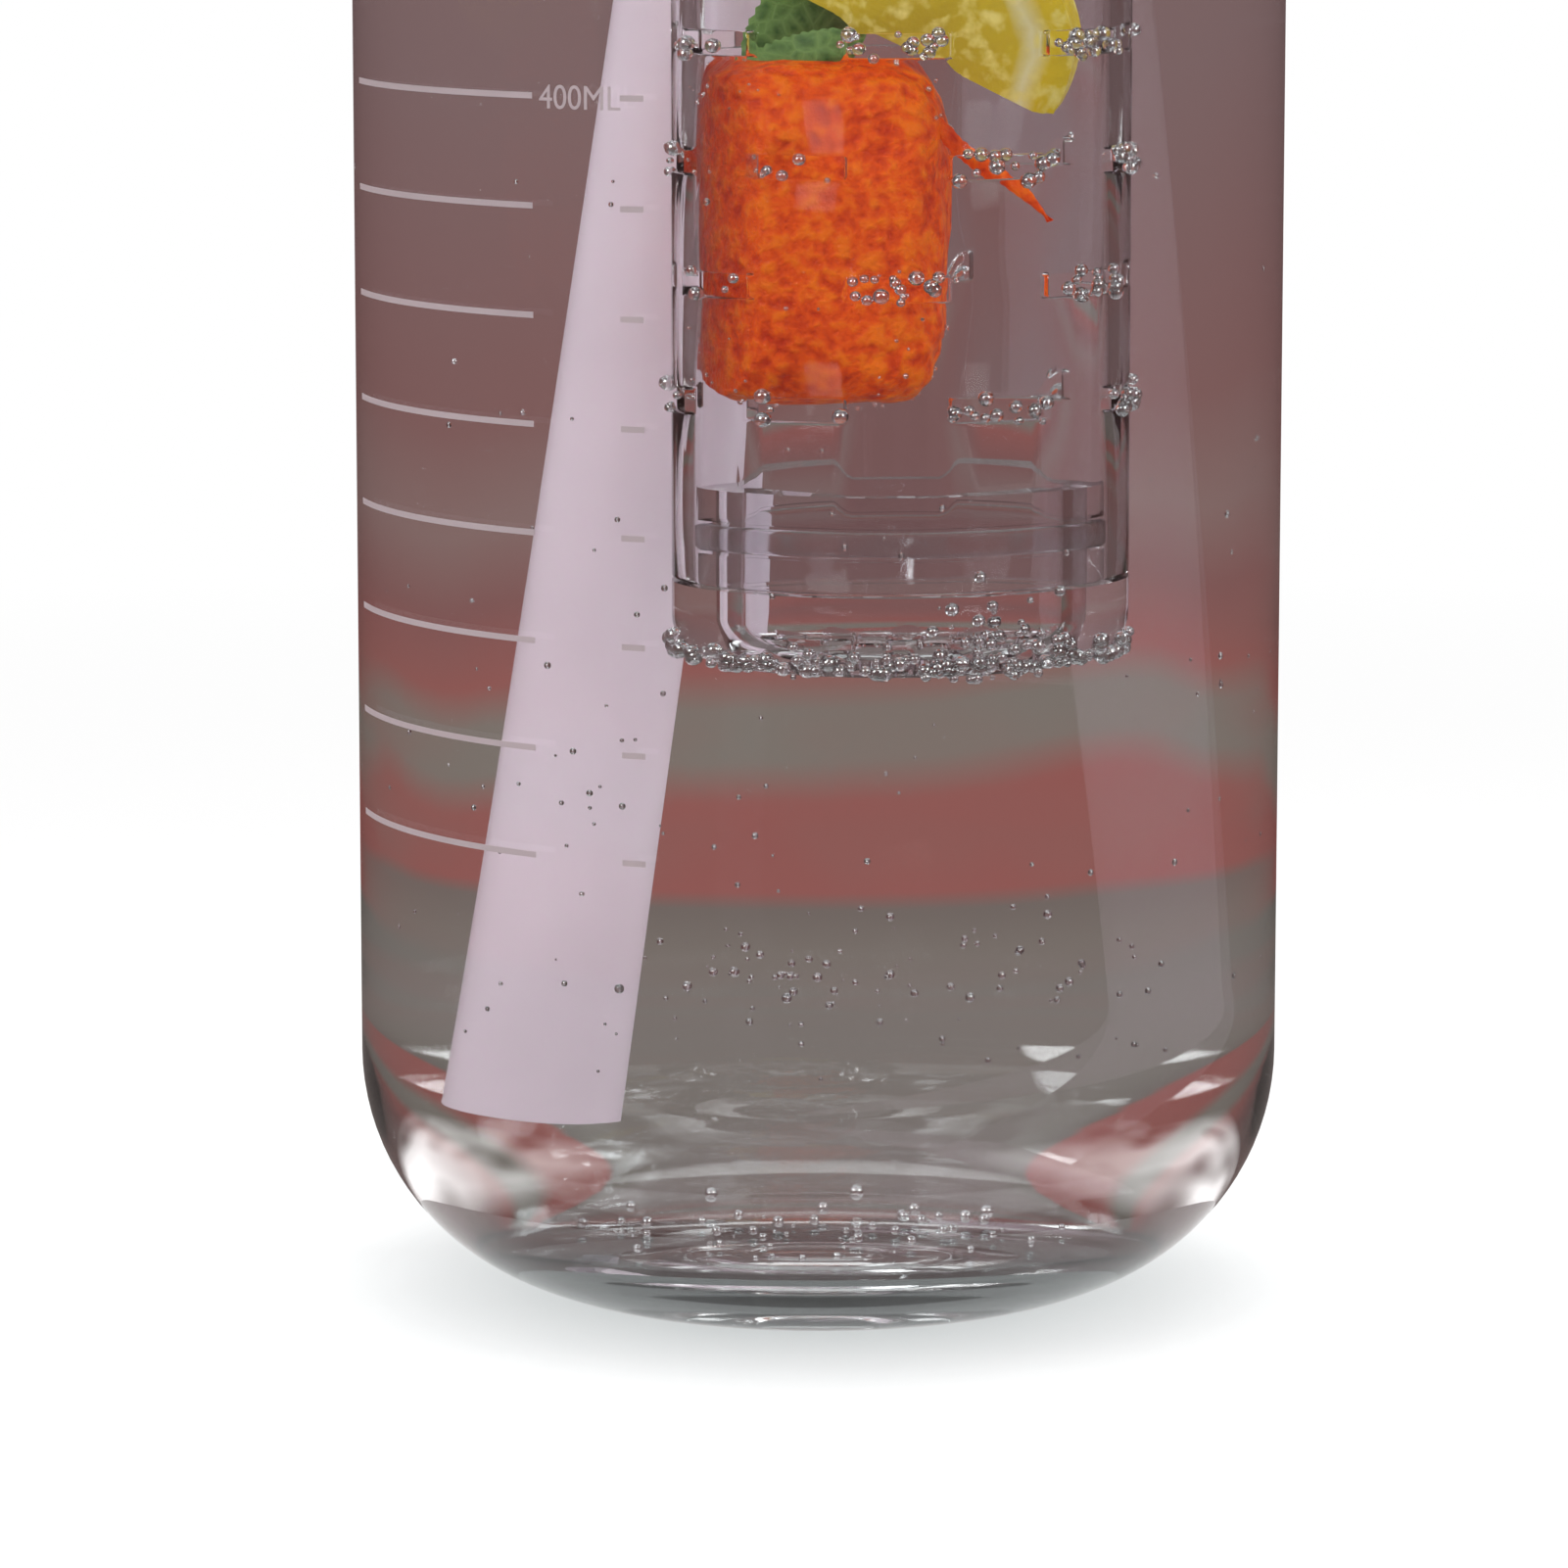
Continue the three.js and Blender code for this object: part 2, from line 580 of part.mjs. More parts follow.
function flipCover() {
  const outside = solid(turned(coverProfile(0), ROUND));
  const inside = solid(turned(coverProfile(COVER_WALL), ROUND).translate(0, 0, -SEAT));
  const half = KNUCKLE_WIDTH / 2;
  const knuckle = solid(crossRod(KNUCKLE_RADIUS, -half, half, HINGE_Y, HINGE_Z, SMALL));
  const arm = solid(block(
    [-half, HINGE_Y, HINGE_Z - KNUCKLE_RADIUS / 2],
    [half, HINGE_Y + HINGE_REACH + COVER_RADIUS / 4, HINGE_Z + KNUCKLE_RADIUS],
  ));
  const nose = solid(block(
    [-NOSE_WIDTH / 2, COVER_RADIUS * 0.8, COVER_Z + NOSE_RISE],
    [NOSE_WIDTH / 2, COVER_RADIUS + NOSE_LENGTH, COVER_Z + NOSE_RISE + NOSE_HEIGHT],
  ));
  const bossZ = DECK_Z + SEAT + SPOUT_HEIGHT + SEAT + SEAL_THICKNESS + SEAT;
  const boss = solid(rod(SPOUT_RADIUS, bossZ, COVER_TOP_Z + SEAT, SMALL, 0, SPOUT_Y));
  const bore = solid(crossRod(HINGE_BORE, -half - RUNNING, half + RUNNING, HINGE_Y, HINGE_Z, TINY));
  return closed(geometryOf(
    outside
      .add(knuckle)
      .add(arm)
      .add(nose)
      .subtract(inside)
      .add(boss.intersect(outside))
      .subtract(bore),
  ));
}

function coverSeal() {
  const low = DECK_Z + SEAT + SPOUT_HEIGHT + SEAT;
  const rim = SPOUT_RADIUS - SEAT;
  const geometry = turned([
    [0, low - SEAL_NUB_LENGTH],
    [SEAL_NUB_RADIUS * 0.8, low - SEAL_NUB_LENGTH],
    [SEAL_NUB_RADIUS, low],
    [rim, low],
    [rim, low + SEAL_THICKNESS],
    [0, low + SEAL_THICKNESS],
  ], SMALL);
  return closed(geometry.translate(0, SPOUT_Y, 0));
}

function coverHingePin() {
  const half = KNUCKLE_WIDTH / 2 + RUNNING + EAR_WIDTH - SEAT;
  return closed(crossRod(HINGE_PIN_RADIUS, -half, half, HINGE_Y, HINGE_Z, TINY));
}

// Push button

function pushButton() {
  const inner = 2 * BUTTON_BEVEL;
  const outline = roundedBox(
    BUTTON_WIDTH - inner,
    BUTTON_DEPTH - inner,
    BUTTON_CORNER - BUTTON_BEVEL,
    0,
    BUTTON_Y,
  );
  const geometry = new THREE.ExtrudeGeometry(outline, {
    depth: BUTTON_HEIGHT - inner,
    bevelSize: BUTTON_BEVEL,
    bevelThickness: BUTTON_BEVEL,
    bevelSegments: 2,
    curveSegments: 3,
  });
  return closed(geometry.translate(0, 0, BUTTON_FOOT_Z + BUTTON_BEVEL));
}

class Coil extends THREE.Curve {
  getPoint(share, target = new THREE.Vector3()) {
    const angle = 2 * Math.PI * SPRING_TURNS * share;
    const rise = SPRING_WIRE / 2 + (SPRING_LENGTH - SPRING_WIRE) * share;
    return target.set(
      SPRING_RADIUS * Math.cos(angle),
      BUTTON_Y + SPRING_RADIUS * Math.sin(angle),
      SPRING_SEAT_Z + rise,
    );
  }
}

// Least distance between the surfaces of turns that lie beside each other.
function leastCoilGap(coil, steps) {
  const points = coil.getPoints(steps * 4);
  const halfTurn = Math.floor((steps * 2) / SPRING_TURNS);
  let least = Infinity;
  points.forEach((point, i) => {
    points.slice(i + halfTurn).forEach((other) => {
      least = Math.min(least, point.distanceTo(other));
    });
  });
  return least - SPRING_WIRE;
}

function buttonSpring() {
  const coil = new Coil();
  const steps = Math.round(SPRING_TURNS * 8);
  console.log(`button spring, least gap to itself: ${leastCoilGap(coil, steps).toFixed(2)} mm`);
  const section = new THREE.Shape(circlePoints(SPRING_WIRE / 2, 5));
  return closed(new THREE.ExtrudeGeometry(section, { steps, extrudePath: coil }));
}

// Carry handle, a bail that lies round the back of the lid

function carryHandle() {
  const outer = HANDLE_RADIUS - HANDLE_BEVEL;
  const inner = HANDLE_BORE + HANDLE_BEVEL;
  const reach = HANDLE_HEIGHT / 2;
  const outline = new THREE.Shape();
  outline.moveTo(outer, reach);
  outline.lineTo(inner, reach);
  outline.absarc(0, 0, inner, 0, Math.PI, true);
  outline.lineTo(-inner, reach);
  outline.lineTo(-outer, reach);
  outline.absarc(0, 0, outer, Math.PI, 2 * Math.PI, false);
  const band = new THREE.ExtrudeGeometry(outline, {
    depth: HANDLE_HEIGHT - 2 * HANDLE_BEVEL,
    bevelSize: HANDLE_BEVEL,
    bevelThickness: HANDLE_BEVEL,
    bevelSegments: 1,
    curveSegments: SMALL,
  }).translate(0, 0, HANDLE_Z - reach + HANDLE_BEVEL);
  const wide = HANDLE_RADIUS + HANDLE_BEVEL;
  const ends = solid(crossRod(reach, -wide, wide, 0, HANDLE_Z, SMALL)).add(solid(block(
    [-wide, -wide, HANDLE_Z - HANDLE_HEIGHT],
    [wide, 0, HANDLE_Z + HANDLE_HEIGHT],
  )));
  const bore = HANDLE_PIN_RADIUS + RUNNING;
  return closed(geometryOf(
    solid(band)
      .intersect(ends)
      .subtract(solid(crossRod(bore, -wide, wide, 0, HANDLE_Z, TINY))),
  ));
}

function handlePin(side) {
  const ends = [COLLAR_RADIUS - HANDLE_PIN_SEAT, HANDLE_RADIUS - HANDLE_PIN_SKIN];
  const [low, high] = ends.map((x) => side * x).sort((a, b) => a - b);
  return closed(crossRod(HANDLE_PIN_RADIUS, low, high, 0, HANDLE_Z, TINY));
}

// Infuser, made on its own axis

function infuserTube() {
  const wall = solid(turnedRing([
    [INFUSER_BORE, TUBE_Z],
    [INFUSER_RADIUS, TUBE_Z],
    [INFUSER_RADIUS, TUBE_TOP_Z],
    [INFUSER_BORE, TUBE_TOP_Z],
  ], MEDIUM));
  const lowest = TUBE_Z + CAP_SPIGOT_LENGTH + SLOT_MARGIN;
  const highest = INFUSER_COLLAR_Z - SLOT_MARGIN;
  const rows = Math.floor((highest - lowest) / SLOT_PITCH) + 1;
  const slots = [];
  for (let row = 0; row < rows; row += 1) {
    for (let i = 0; i < SLOT_COUNT; i += 1) {
      const angle = (2 * Math.PI * (i + (row % 2) / 2)) / SLOT_COUNT;
      const slot = new THREE.BoxGeometry(4 * INFUSER_WALL, SLOT_LENGTH, SLOT_HEIGHT)
        .translate(INFUSER_RADIUS, 0, lowest + SLOT_PITCH * row)
        .rotateZ(angle);
      slots.push(solid(slot));
    }
  }
  return closed(geometryOf(wall.subtract(joined(slots))));
}

function infuserCollar() {
  const bore = SPIGOT_RADIUS + RUNNING;
  return closed(turnedRing([
    [INFUSER_RADIUS + SEAT, INFUSER_COLLAR_Z],
    [INFUSER_COLLAR_RADIUS, INFUSER_COLLAR_Z],
    [INFUSER_COLLAR_RADIUS, INFUSER_COLLAR_TOP_Z],
    [bore, INFUSER_COLLAR_TOP_Z],
    [bore, INFUSER_STEP_Z],
    [INFUSER_RADIUS + SEAT, INFUSER_STEP_Z],
  ], MEDIUM));
}

function infuserGasket() {
  const inner = SPIGOT_RADIUS + RUNNING;
  const outer = INFUSER_RADIUS;
  const top = INFUSER_GASKET_Z + INFUSER_GASKET_THICKNESS;
  return closed(turnedRing([
    [inner, INFUSER_GASKET_Z],
    [outer, INFUSER_GASKET_Z],
    [outer, top],
    [inner, top],
  ], MEDIUM));
}

const GROOVE_Z = TUBE_Z + (CAP_SPIGOT_LENGTH - ORING_HEIGHT) / 2;
const GROOVE_RADIUS = CAP_SPIGOT_RADIUS - ORING_DEPTH;

function infuserEndCap() {
  const top = TUBE_Z + CAP_SPIGOT_LENGTH;
  const bore = GROOVE_RADIUS - CAP_WALL;
  const corner = INFUSER_RADIUS - CAP_CORNER;
  const cup = solid(turned([
    [0, INFUSER_BOTTOM],
    ...arc(corner, INFUSER_BOTTOM + CAP_CORNER, CAP_CORNER, -90, 0, 4),
    [INFUSER_RADIUS, TUBE_Z - SEAT],
    [CAP_SPIGOT_RADIUS, TUBE_Z - SEAT],
    [CAP_SPIGOT_RADIUS, GROOVE_Z - SEAT],
    [GROOVE_RADIUS, GROOVE_Z - SEAT],
    [GROOVE_RADIUS, GROOVE_Z + ORING_HEIGHT + SEAT],
    [CAP_SPIGOT_RADIUS, GROOVE_Z + ORING_HEIGHT + SEAT],
    [CAP_SPIGOT_RADIUS, top],
    [bore, top],
    [bore, INFUSER_BOTTOM + CAP_FLOOR],
    [0, INFUSER_BOTTOM + CAP_FLOOR],
  ], MEDIUM));
  const holes = [];
  for (let ring = 0; ring <= CAP_HOLE_RINGS; ring += 1) {
    const count = Math.max(1, 6 * ring);
    for (let i = 0; i < count; i += 1) {
      const angle = (2 * Math.PI * i) / count;
      const x = CAP_HOLE_PITCH * ring * Math.cos(angle);
      const y = CAP_HOLE_PITCH * ring * Math.sin(angle);
      const [low, high] = [INFUSER_BOTTOM - SEAT, INFUSER_BOTTOM + CAP_FLOOR + SEAT];
      holes.push(solid(rod(CAP_HOLE, low, high, 6, x, y)));
    }
  }
  return closed(geometryOf(cup.subtract(joined(holes))));
}

function endCapOring() {
  const inner = GROOVE_RADIUS + SEAT / 2;
  const outer = CAP_SPIGOT_RADIUS + SEAT / 2;
  const middle = (inner + outer) / 2;
  const bevel = (outer - inner) / 4;
  const top = GROOVE_Z + ORING_HEIGHT;
  return closed(turnedRing([
    [inner, GROOVE_Z + bevel],
    [middle, GROOVE_Z],
    [outer, GROOVE_Z + bevel],
    [outer, top - bevel],
    [middle, top],
    [inner, top - bevel],
  ], MEDIUM));
}

// Materials

const finishes = {
  clear: { color: 0xeef2f4, roughness: 0.05, metalness: 0, transparent: true, opacity: 0.35 },
  lilac: { color: 0xd0bed0, roughness: 0.4, metalness: 0 },
  lilacDeep: { color: 0xb9a3bd, roughness: 0.45, metalness: 0 },
  soft: { color: 0xe9e4ea, roughness: 0.7, metalness: 0 },
  steel: { color: 0xc4c6c9, roughness: 0.3, metalness: 1 },
};

function piece(name, geometry, finish) {
  const material = new THREE.MeshStandardMaterial(finishes[finish]);
  const mesh = new THREE.Mesh(geometry, material);
  mesh.name = name;
  return mesh;
}

// Assembly

const bottle = new THREE.Group();

const lid = new THREE.Group();
lid.add(
  piece('lid_gasket', lidGasket(), 'soft'),
  piece('lid_collar', lidCollar(), 'lilac'),
  piece('lid_insert', lidInsert(), 'lilacDeep'),
  piece('drinking_spout', drinkingSpout(), 'soft'),
  piece('vent_valve', ventValve(), 'soft'),
  piece('straw_sleeve', strawSleeve(), 'soft'),
  piece('straw', straw(), 'lilac'),
  piece('flip_cover', flipCover(), 'lilac'),
  piece('cover_seal', coverSeal(), 'soft'),
  piece('cover_hinge_pin', coverHingePin(), 'steel'),
  piece('push_button', pushButton(), 'lilacDeep'),
  piece('button_spring', buttonSpring(), 'steel'),
  piece('carry_handle', carryHandle(), 'lilacDeep'),
  piece('handle_pin_left', handlePin(-1), 'steel'),
  piece('handle_pin_right', handlePin(1), 'steel'),
);

const infuser = new THREE.Group();
infuser.position.set(INFUSER_X, INFUSER_Y, 0);
infuser.add(
  piece('infuser_gasket', infuserGasket(), 'soft'),
  piece('infuser_collar', infuserCollar(), 'lilac'),
  piece('infuser_tube', infuserTube(), 'clear'),
  piece('infuser_end_cap', infuserEndCap(), 'clear'),
  piece('end_cap_oring', endCapOring(), 'soft'),
);

bottle.add(piece('bottle_body', bottleBody(), 'clear'), lid, infuser);

export default bottle;
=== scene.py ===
import math
import random

import bmesh
import bpy
from mathutils import Euler, Matrix, Vector, noise


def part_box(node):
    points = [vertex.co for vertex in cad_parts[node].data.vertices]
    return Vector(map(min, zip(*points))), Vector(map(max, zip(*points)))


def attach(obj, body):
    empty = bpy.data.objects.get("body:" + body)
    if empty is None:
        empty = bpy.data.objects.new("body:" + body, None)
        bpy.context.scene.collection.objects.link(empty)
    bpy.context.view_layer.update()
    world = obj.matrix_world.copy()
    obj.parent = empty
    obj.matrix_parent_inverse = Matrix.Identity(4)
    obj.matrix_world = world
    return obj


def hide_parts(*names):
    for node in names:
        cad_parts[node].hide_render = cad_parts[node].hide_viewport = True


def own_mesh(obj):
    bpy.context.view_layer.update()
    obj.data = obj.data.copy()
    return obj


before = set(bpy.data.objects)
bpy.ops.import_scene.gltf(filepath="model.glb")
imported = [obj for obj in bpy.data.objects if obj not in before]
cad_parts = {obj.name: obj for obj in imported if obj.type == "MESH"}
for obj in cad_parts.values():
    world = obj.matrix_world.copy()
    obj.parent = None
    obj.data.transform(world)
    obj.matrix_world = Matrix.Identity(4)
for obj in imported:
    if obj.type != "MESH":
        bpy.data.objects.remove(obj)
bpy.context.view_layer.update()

# Lengths are in metres, written as millimetres times MM.
MM = 0.001
TAU = 2 * math.pi

# Clearances of pieces that seat on each other and of pieces that move
FIT = 0.25 * MM
PLAY = 0.3 * MM


def middle(node):
    """The middle of a node's box."""
    return [(low + high) / 2 for low, high in zip(*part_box(node))]


def half_size(node):
    """Half the size of a node's box each way."""
    return [(high - low) / 2 for low, high in zip(*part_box(node))]


# The photograph's framing
PHOTO_FRAME = 137 * MM
CAMERA_BACK = 600 * MM
CAMERA_HEIGHT = 137 * MM
AIM_HEIGHT = 43.9 * MM
AIM_SIDE = -3.0 * MM
SENSOR = 36.0

# Bottle
BODY_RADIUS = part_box("bottle_body")[1].x
RIM_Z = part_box("bottle_body")[1].z
BODY_WALL = 2.4 * MM
BODY_BORE = BODY_RADIUS - BODY_WALL
BASE_CORNER = 21 * MM
FOOT_WIDTH = 6 * MM
FOOT_RECESS = 2.6 * MM
FLOOR_HEIGHT = 8 * MM
FLOOR_CROWN = 0.6 * MM
FLOOR_CORNER = 13 * MM
STRAIGHT_HEIGHT = 186 * MM
SHOULDER_RISE = 18 * MM
NECK_BORE = 29.5 * MM
NECK_WALL = 2.5 * MM
RIM_BEVEL = 0.7 * MM
WATER_LAP = 0.12 * MM
MENISCUS = 0.4 * MM

# Raised rings under the base, placed and sized in shares of the recess
FOOT_RINGS = (0.36, 0.73)
FOOT_RING_WIDTH = 0.045
FOOT_RING_HEIGHT = 0.8 * MM

# Rings this close to the ends of a straight wall keep its shading level.
WALL_EASE = 1 * MM

# Infuser
TUBE_LOW, TUBE_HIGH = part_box("infuser_tube")
CAP_LOW, CAP_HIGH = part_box("infuser_end_cap")
INFUSER_AXIS = middle("infuser_tube")[:2]
INFUSER_RADIUS = half_size("infuser_tube")[1]
INFUSER_WALL = 1.6 * MM
INFUSER_BORE = INFUSER_RADIUS - INFUSER_WALL
SLOT_LENGTH = 9 * MM
SLOT_HEIGHT = 2 * MM
SLOT_PITCH = 10 * MM
SLOT_COUNT = 6
SLOT_ROWS = 13
SLOT_FIRST_Z = TUBE_LOW.z + 15.25 * MM
WATER_LEVEL = SLOT_FIRST_Z + 8.5 * SLOT_PITCH


# Mesh helpers

def add_object(name, data):
    obj = bpy.data.objects.new(name, data)
    bpy.context.scene.collection.objects.link(obj)
    return obj


def from_bmesh(name, bm, smooth_angle=35):
    bmesh.ops.recalc_face_normals(bm, faces=bm.faces)
    mesh = bpy.data.meshes.new(name)
    bm.to_mesh(mesh)
    bm.free()
    obj = add_object(name, mesh)
    shade(obj, smooth_angle)
    return obj


def shade(obj, angle=35):
    obj.data.shade_smooth()
    obj.data.set_sharp_from_angle(angle=math.radians(angle))


def polar(radius, angle, z, centre=(0, 0)):
    """A point about an upright axis, its angle in radians from +X."""
    return Vector((centre[0] + radius * math.cos(angle), centre[1] + radius * math.sin(angle), z))


def facing(radius, degrees, z, centre=(0, 0)):
    """A point about an upright axis. Angle 0 faces the camera, positive goes to +X."""
    angle = math.radians(degrees)
    return Vector((centre[0] + radius * math.sin(angle), centre[1] - radius * math.cos(angle), z))


def arc(centre_r, centre_z, radius, from_angle, to_angle, steps):
    """Points on an arc in the (radius, height) plane, angles in degrees."""
    points = []
    for i in range(steps + 1):
        angle = math.radians(from_angle + (to_angle - from_angle) * i / steps)
        points.append((centre_r + radius * math.cos(angle), centre_z + radius * math.sin(angle)))
    return points


def bezier(controls, steps):
    """Points on the curve of some control points."""
    order = len(controls) - 1
    points = []
    for i in range(steps + 1):
        t = i / steps
        shares = [math.comb(order, k) * (1 - t) ** (order - k) * t ** k for k in range(order + 1)]
        points.append([sum(share * value for share, value in zip(shares, axis)) for axis in zip(*controls)])
    return points


def smooth_step(from_r, from_z, to_r, to_z, steps):
    """Points on a smooth step between two radii."""
    halfway = (from_z + to_z) / 2
    return bezier([(from_r, from_z), (from_r, halfway), (to_r, halfway), (to_r, to_z)], steps)


def bridge(bm, point_rings, closed=False, capped=False):
    """Makes faces between neighbouring rings of points. A ring of one point is a pole."""
    rings = [[bm.verts.new(point) for point in ring] for ring in point_rings]
    count = max(len(ring) for ring in rings)
    for low, high in zip(rings, rings[1:] + rings[:1] if closed else rings[1:]):
        for i in range(count):
            j = (i + 1) % count
            corners = [low[i % len(low)], low[j % len(low)], high[j % len(high)], high[i % len(high)]]
            face = list(dict.fromkeys(corners))
            if len(face) > 2:
                bm.faces.new(face)
    if capped:
        bm.faces.new(rings[0])
        bm.faces.new(rings[-1][::-1])


def skin(name, rings, closed=False, capped=False, smooth_angle=35):
    """A piece through rings of points."""
    bm = bmesh.new()
    bridge(bm, rings, closed, capped)
    return from_bmesh(name, bm, smooth_angle)


def sheet(bm, rows):
    """Joins neighbouring rows of points with faces, open at both ends."""
    for low, high in zip(rows, rows[1:]):
        for i in range(len(low) - 1):
            bm.faces.new([low[i], low[i + 1], high[i + 1], high[i]])


def revolve(profile, segments, centre=(0, 0), shape=lambda radius, height, angle: radius):
    """Rings of (radius, height) points about an upright axis. shape may change a radius by its angle."""
    angles = [TAU * i / segments for i in range(segments)]
    rings = []
    for radius, height in profile:
        if radius < 1e-7:
            rings.append([polar(0, 0, height, centre)])
        else:
            rings.append([polar(shape(radius, height, turn), turn, height, centre) for turn in angles])
    return rings


def lathe(name, profile, segments, centre=(0, 0), closed=False, smooth_angle=35):
    return skin(name, revolve(profile, segments, centre), closed, smooth_angle=smooth_angle)


def coil(name, turns, steps, section, centre=(0, 0)):
    """A bar wound round an upright axis. section gives its (radius, height) points at 0 to 1 of its way."""
    rings = []
    for i in range(steps + 1):
        t = i / steps
        rings.append([polar(r, TAU * turns * t, z, centre) for r, z in section(t)])
    return skin(name, rings, capped=True, smooth_angle=50)


def settle(obj):
    """Makes what an object's modifiers do its own mesh."""
    bpy.context.view_layer.update()
    depsgraph = bpy.context.evaluated_depsgraph_get()
    mesh = bpy.data.meshes.new_from_object(obj.evaluated_get(depsgraph))
    obj.modifiers.clear()
    obj.data = mesh


def combine(obj, tools, operation):
    for tool in tools:
        modifier = obj.modifiers.new("cut", "BOOLEAN")
        modifier.operation = operation
        modifier.solver = "EXACT"
        modifier.object = tool
        settle(obj)
        bpy.data.objects.remove(tool)
    return obj


def join(obj, *tools):
    """Joins tools to obj and uses them up."""
    return combine(obj, tools, "UNION")


def cut(obj, *tools):
    """Takes tools out of obj and uses them up."""
    return combine(obj, tools, "DIFFERENCE")


def rod(radius, start, end, segments):
    """A round bar between two points, for joining and cutting."""
    start, end = Vector(start), Vector(end)
    turn = (end - start).to_track_quat("Z", "Y").to_matrix().to_4x4()
    place = Matrix.Translation((start + end) / 2) @ turn
    length = (end - start).length
    bm = bmesh.new()
    bmesh.ops.create_cone(
        bm, cap_ends=True, segments=segments, radius1=radius, radius2=radius, depth=length, matrix=place
    )
    return from_bmesh("rod", bm)


def upright(radius, low_z, high_z, x=0.0, y=0.0, segments=64):
    return rod(radius, (x, y, low_z), (x, y, high_z), segments)


def crosswise(radius, low_x, high_x, y, z, segments=48):
    return rod(radius, (low_x, y, z), (high_x, y, z), segments)


def box_bmesh(low, high):
    low, high = Vector(low), Vector(high)
    bm = bmesh.new()
    size = Matrix.Diagonal((*(high - low), 1))
    bmesh.ops.create_cube(bm, size=1, matrix=Matrix.Translation((low + high) / 2) @ size)
    return bm


def bevel(bm, edges, offset, segments):
    bmesh.ops.bevel(bm, geom=edges, offset=offset, segments=segments, profile=0.5, affect="EDGES")


def block(low, high, edge=0.0):
    """A box between two corners, for joining, its edges rounded."""
    bm = box_bmesh(low, high)
    if edge:
        bevel(bm, bm.edges[:], edge, 4)
    return from_bmesh("block", bm)


def rounded_block(name, low, high, corner, edge):
    """A box with round upright corners and rounded top and bottom edges."""
    bm = box_bmesh(low, high)
    upright_edges = [e for e in bm.edges if abs(e.verts[0].co.z - e.verts[1].co.z) > 1e-7]
    bevel(bm, upright_edges, corner, 8)
    if edge:
        flat_edges = [e for e in bm.edges if abs(e.verts[0].co.z - e.verts[1].co.z) < 1e-7]
        bevel(bm, flat_edges, edge, 4)
    return from_bmesh(name, bm, 40)


def put(obj, body, material, nodes=()):
    """Gives a piece its material and body, and hides the CAD nodes that it stands for."""
    obj.data.materials.clear()
    obj.data.materials.append(material)
    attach(obj, body)
    if nodes:
        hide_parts(*nodes)


# Material helpers

class Graph:
    """A node tree with a short call for each kind of node. Inputs are sockets or constants."""

    def __init__(self, tree):
        self.nodes = tree.nodes
        self.links = tree.links
        self.shader = tree.nodes.get("Principled BSDF")

    def feed(self, socket, value):
        if isinstance(value, bpy.types.NodeSocket):
            self.links.new(value, socket)
        elif socket.type == "RGBA":
            socket.default_value = (*value, 1)
        else:
            socket.default_value = value

    def add(self, kind, inputs=(), **settings):
        node = self.nodes.new(kind)
        for name, value in settings.items():
            setattr(node, name, value)
        for key, value in dict(inputs).items():
            self.feed(node.inputs[key], value)
        return node

    def shade(self, inputs):
        for key, value in inputs.items():
            self.feed(self.shader.inputs[key], value)

    def place(self):
        return self.add("ShaderNodeTexCoord").outputs["Object"]

    def noise(self, scale, detail):
        inputs = {"Vector": self.place(), "Scale": scale, "Detail": detail}
        return self.add("ShaderNodeTexNoise", inputs).outputs["Fac"]

    def cells(self, scale, **settings):
        inputs = {"Vector": self.place(), "Scale": scale, "Detail": 3.0}
        return self.add("ShaderNodeTexVoronoi", inputs, **settings).outputs["Distance"]

    def ramp(self, source, stops):
        node = self.add("ShaderNodeValToRGB", {"Fac": source})
        elements = node.color_ramp.elements
        while len(elements) < len(stops):
            elements.new(0.5)
        for element, (position, colour) in zip(elements, stops):
            element.position = position
            element.color = (*colour, 1)
        return node.outputs["Color"]

    def share(self, source, low, high):
        """0 at low, 1 at high, straight between."""
        inputs = {"Value": source, "From Min": low, "From Max": high}
        return self.add("ShaderNodeMapRange", inputs).outputs["Result"]

    def spread(self, source, low, high):
        """Maps a 0 to 1 value onto a range."""
        inputs = {"Value": source, "To Min": low, "To Max": high}
        return self.add("ShaderNodeMapRange", inputs).outputs["Result"]

    def sums(self, operation, *values):
        return self.add("ShaderNodeMath", enumerate(values), operation=operation).outputs["Value"]

    def product(self, first, *others):
        for other in others:
            first = self.sums("MULTIPLY", first, other)
        return first

    def distance(self, place, origin=(0, 0, 0)):
        return self.add("ShaderNodeVectorMath", {0: place, 1: origin}, operation="DISTANCE").outputs["Value"]

    def mix(self, share, first, second):
        """Goes from the first colour to the second."""
        inputs = {"Factor": share, "A": first, "B": second}
        return self.add("ShaderNodeMix", inputs, data_type="RGBA").outputs["Result"]

    def bump(self, source, distance):
        node = self.add("ShaderNodeBump", {"Height": source, "Distance": distance, "Strength": 1.0})
        self.feed(self.shader.inputs["Normal"], node.outputs["Normal"])

    def surface(self, socket):
        self.feed(self.nodes["Material Output"].inputs["Surface"], socket)


def new_material(name):
    material = bpy.data.materials.new(name)
    material.use_nodes = True
    return material, Graph(material.node_tree)


LAMP_TINT = (0.96, 0.97, 0.97)


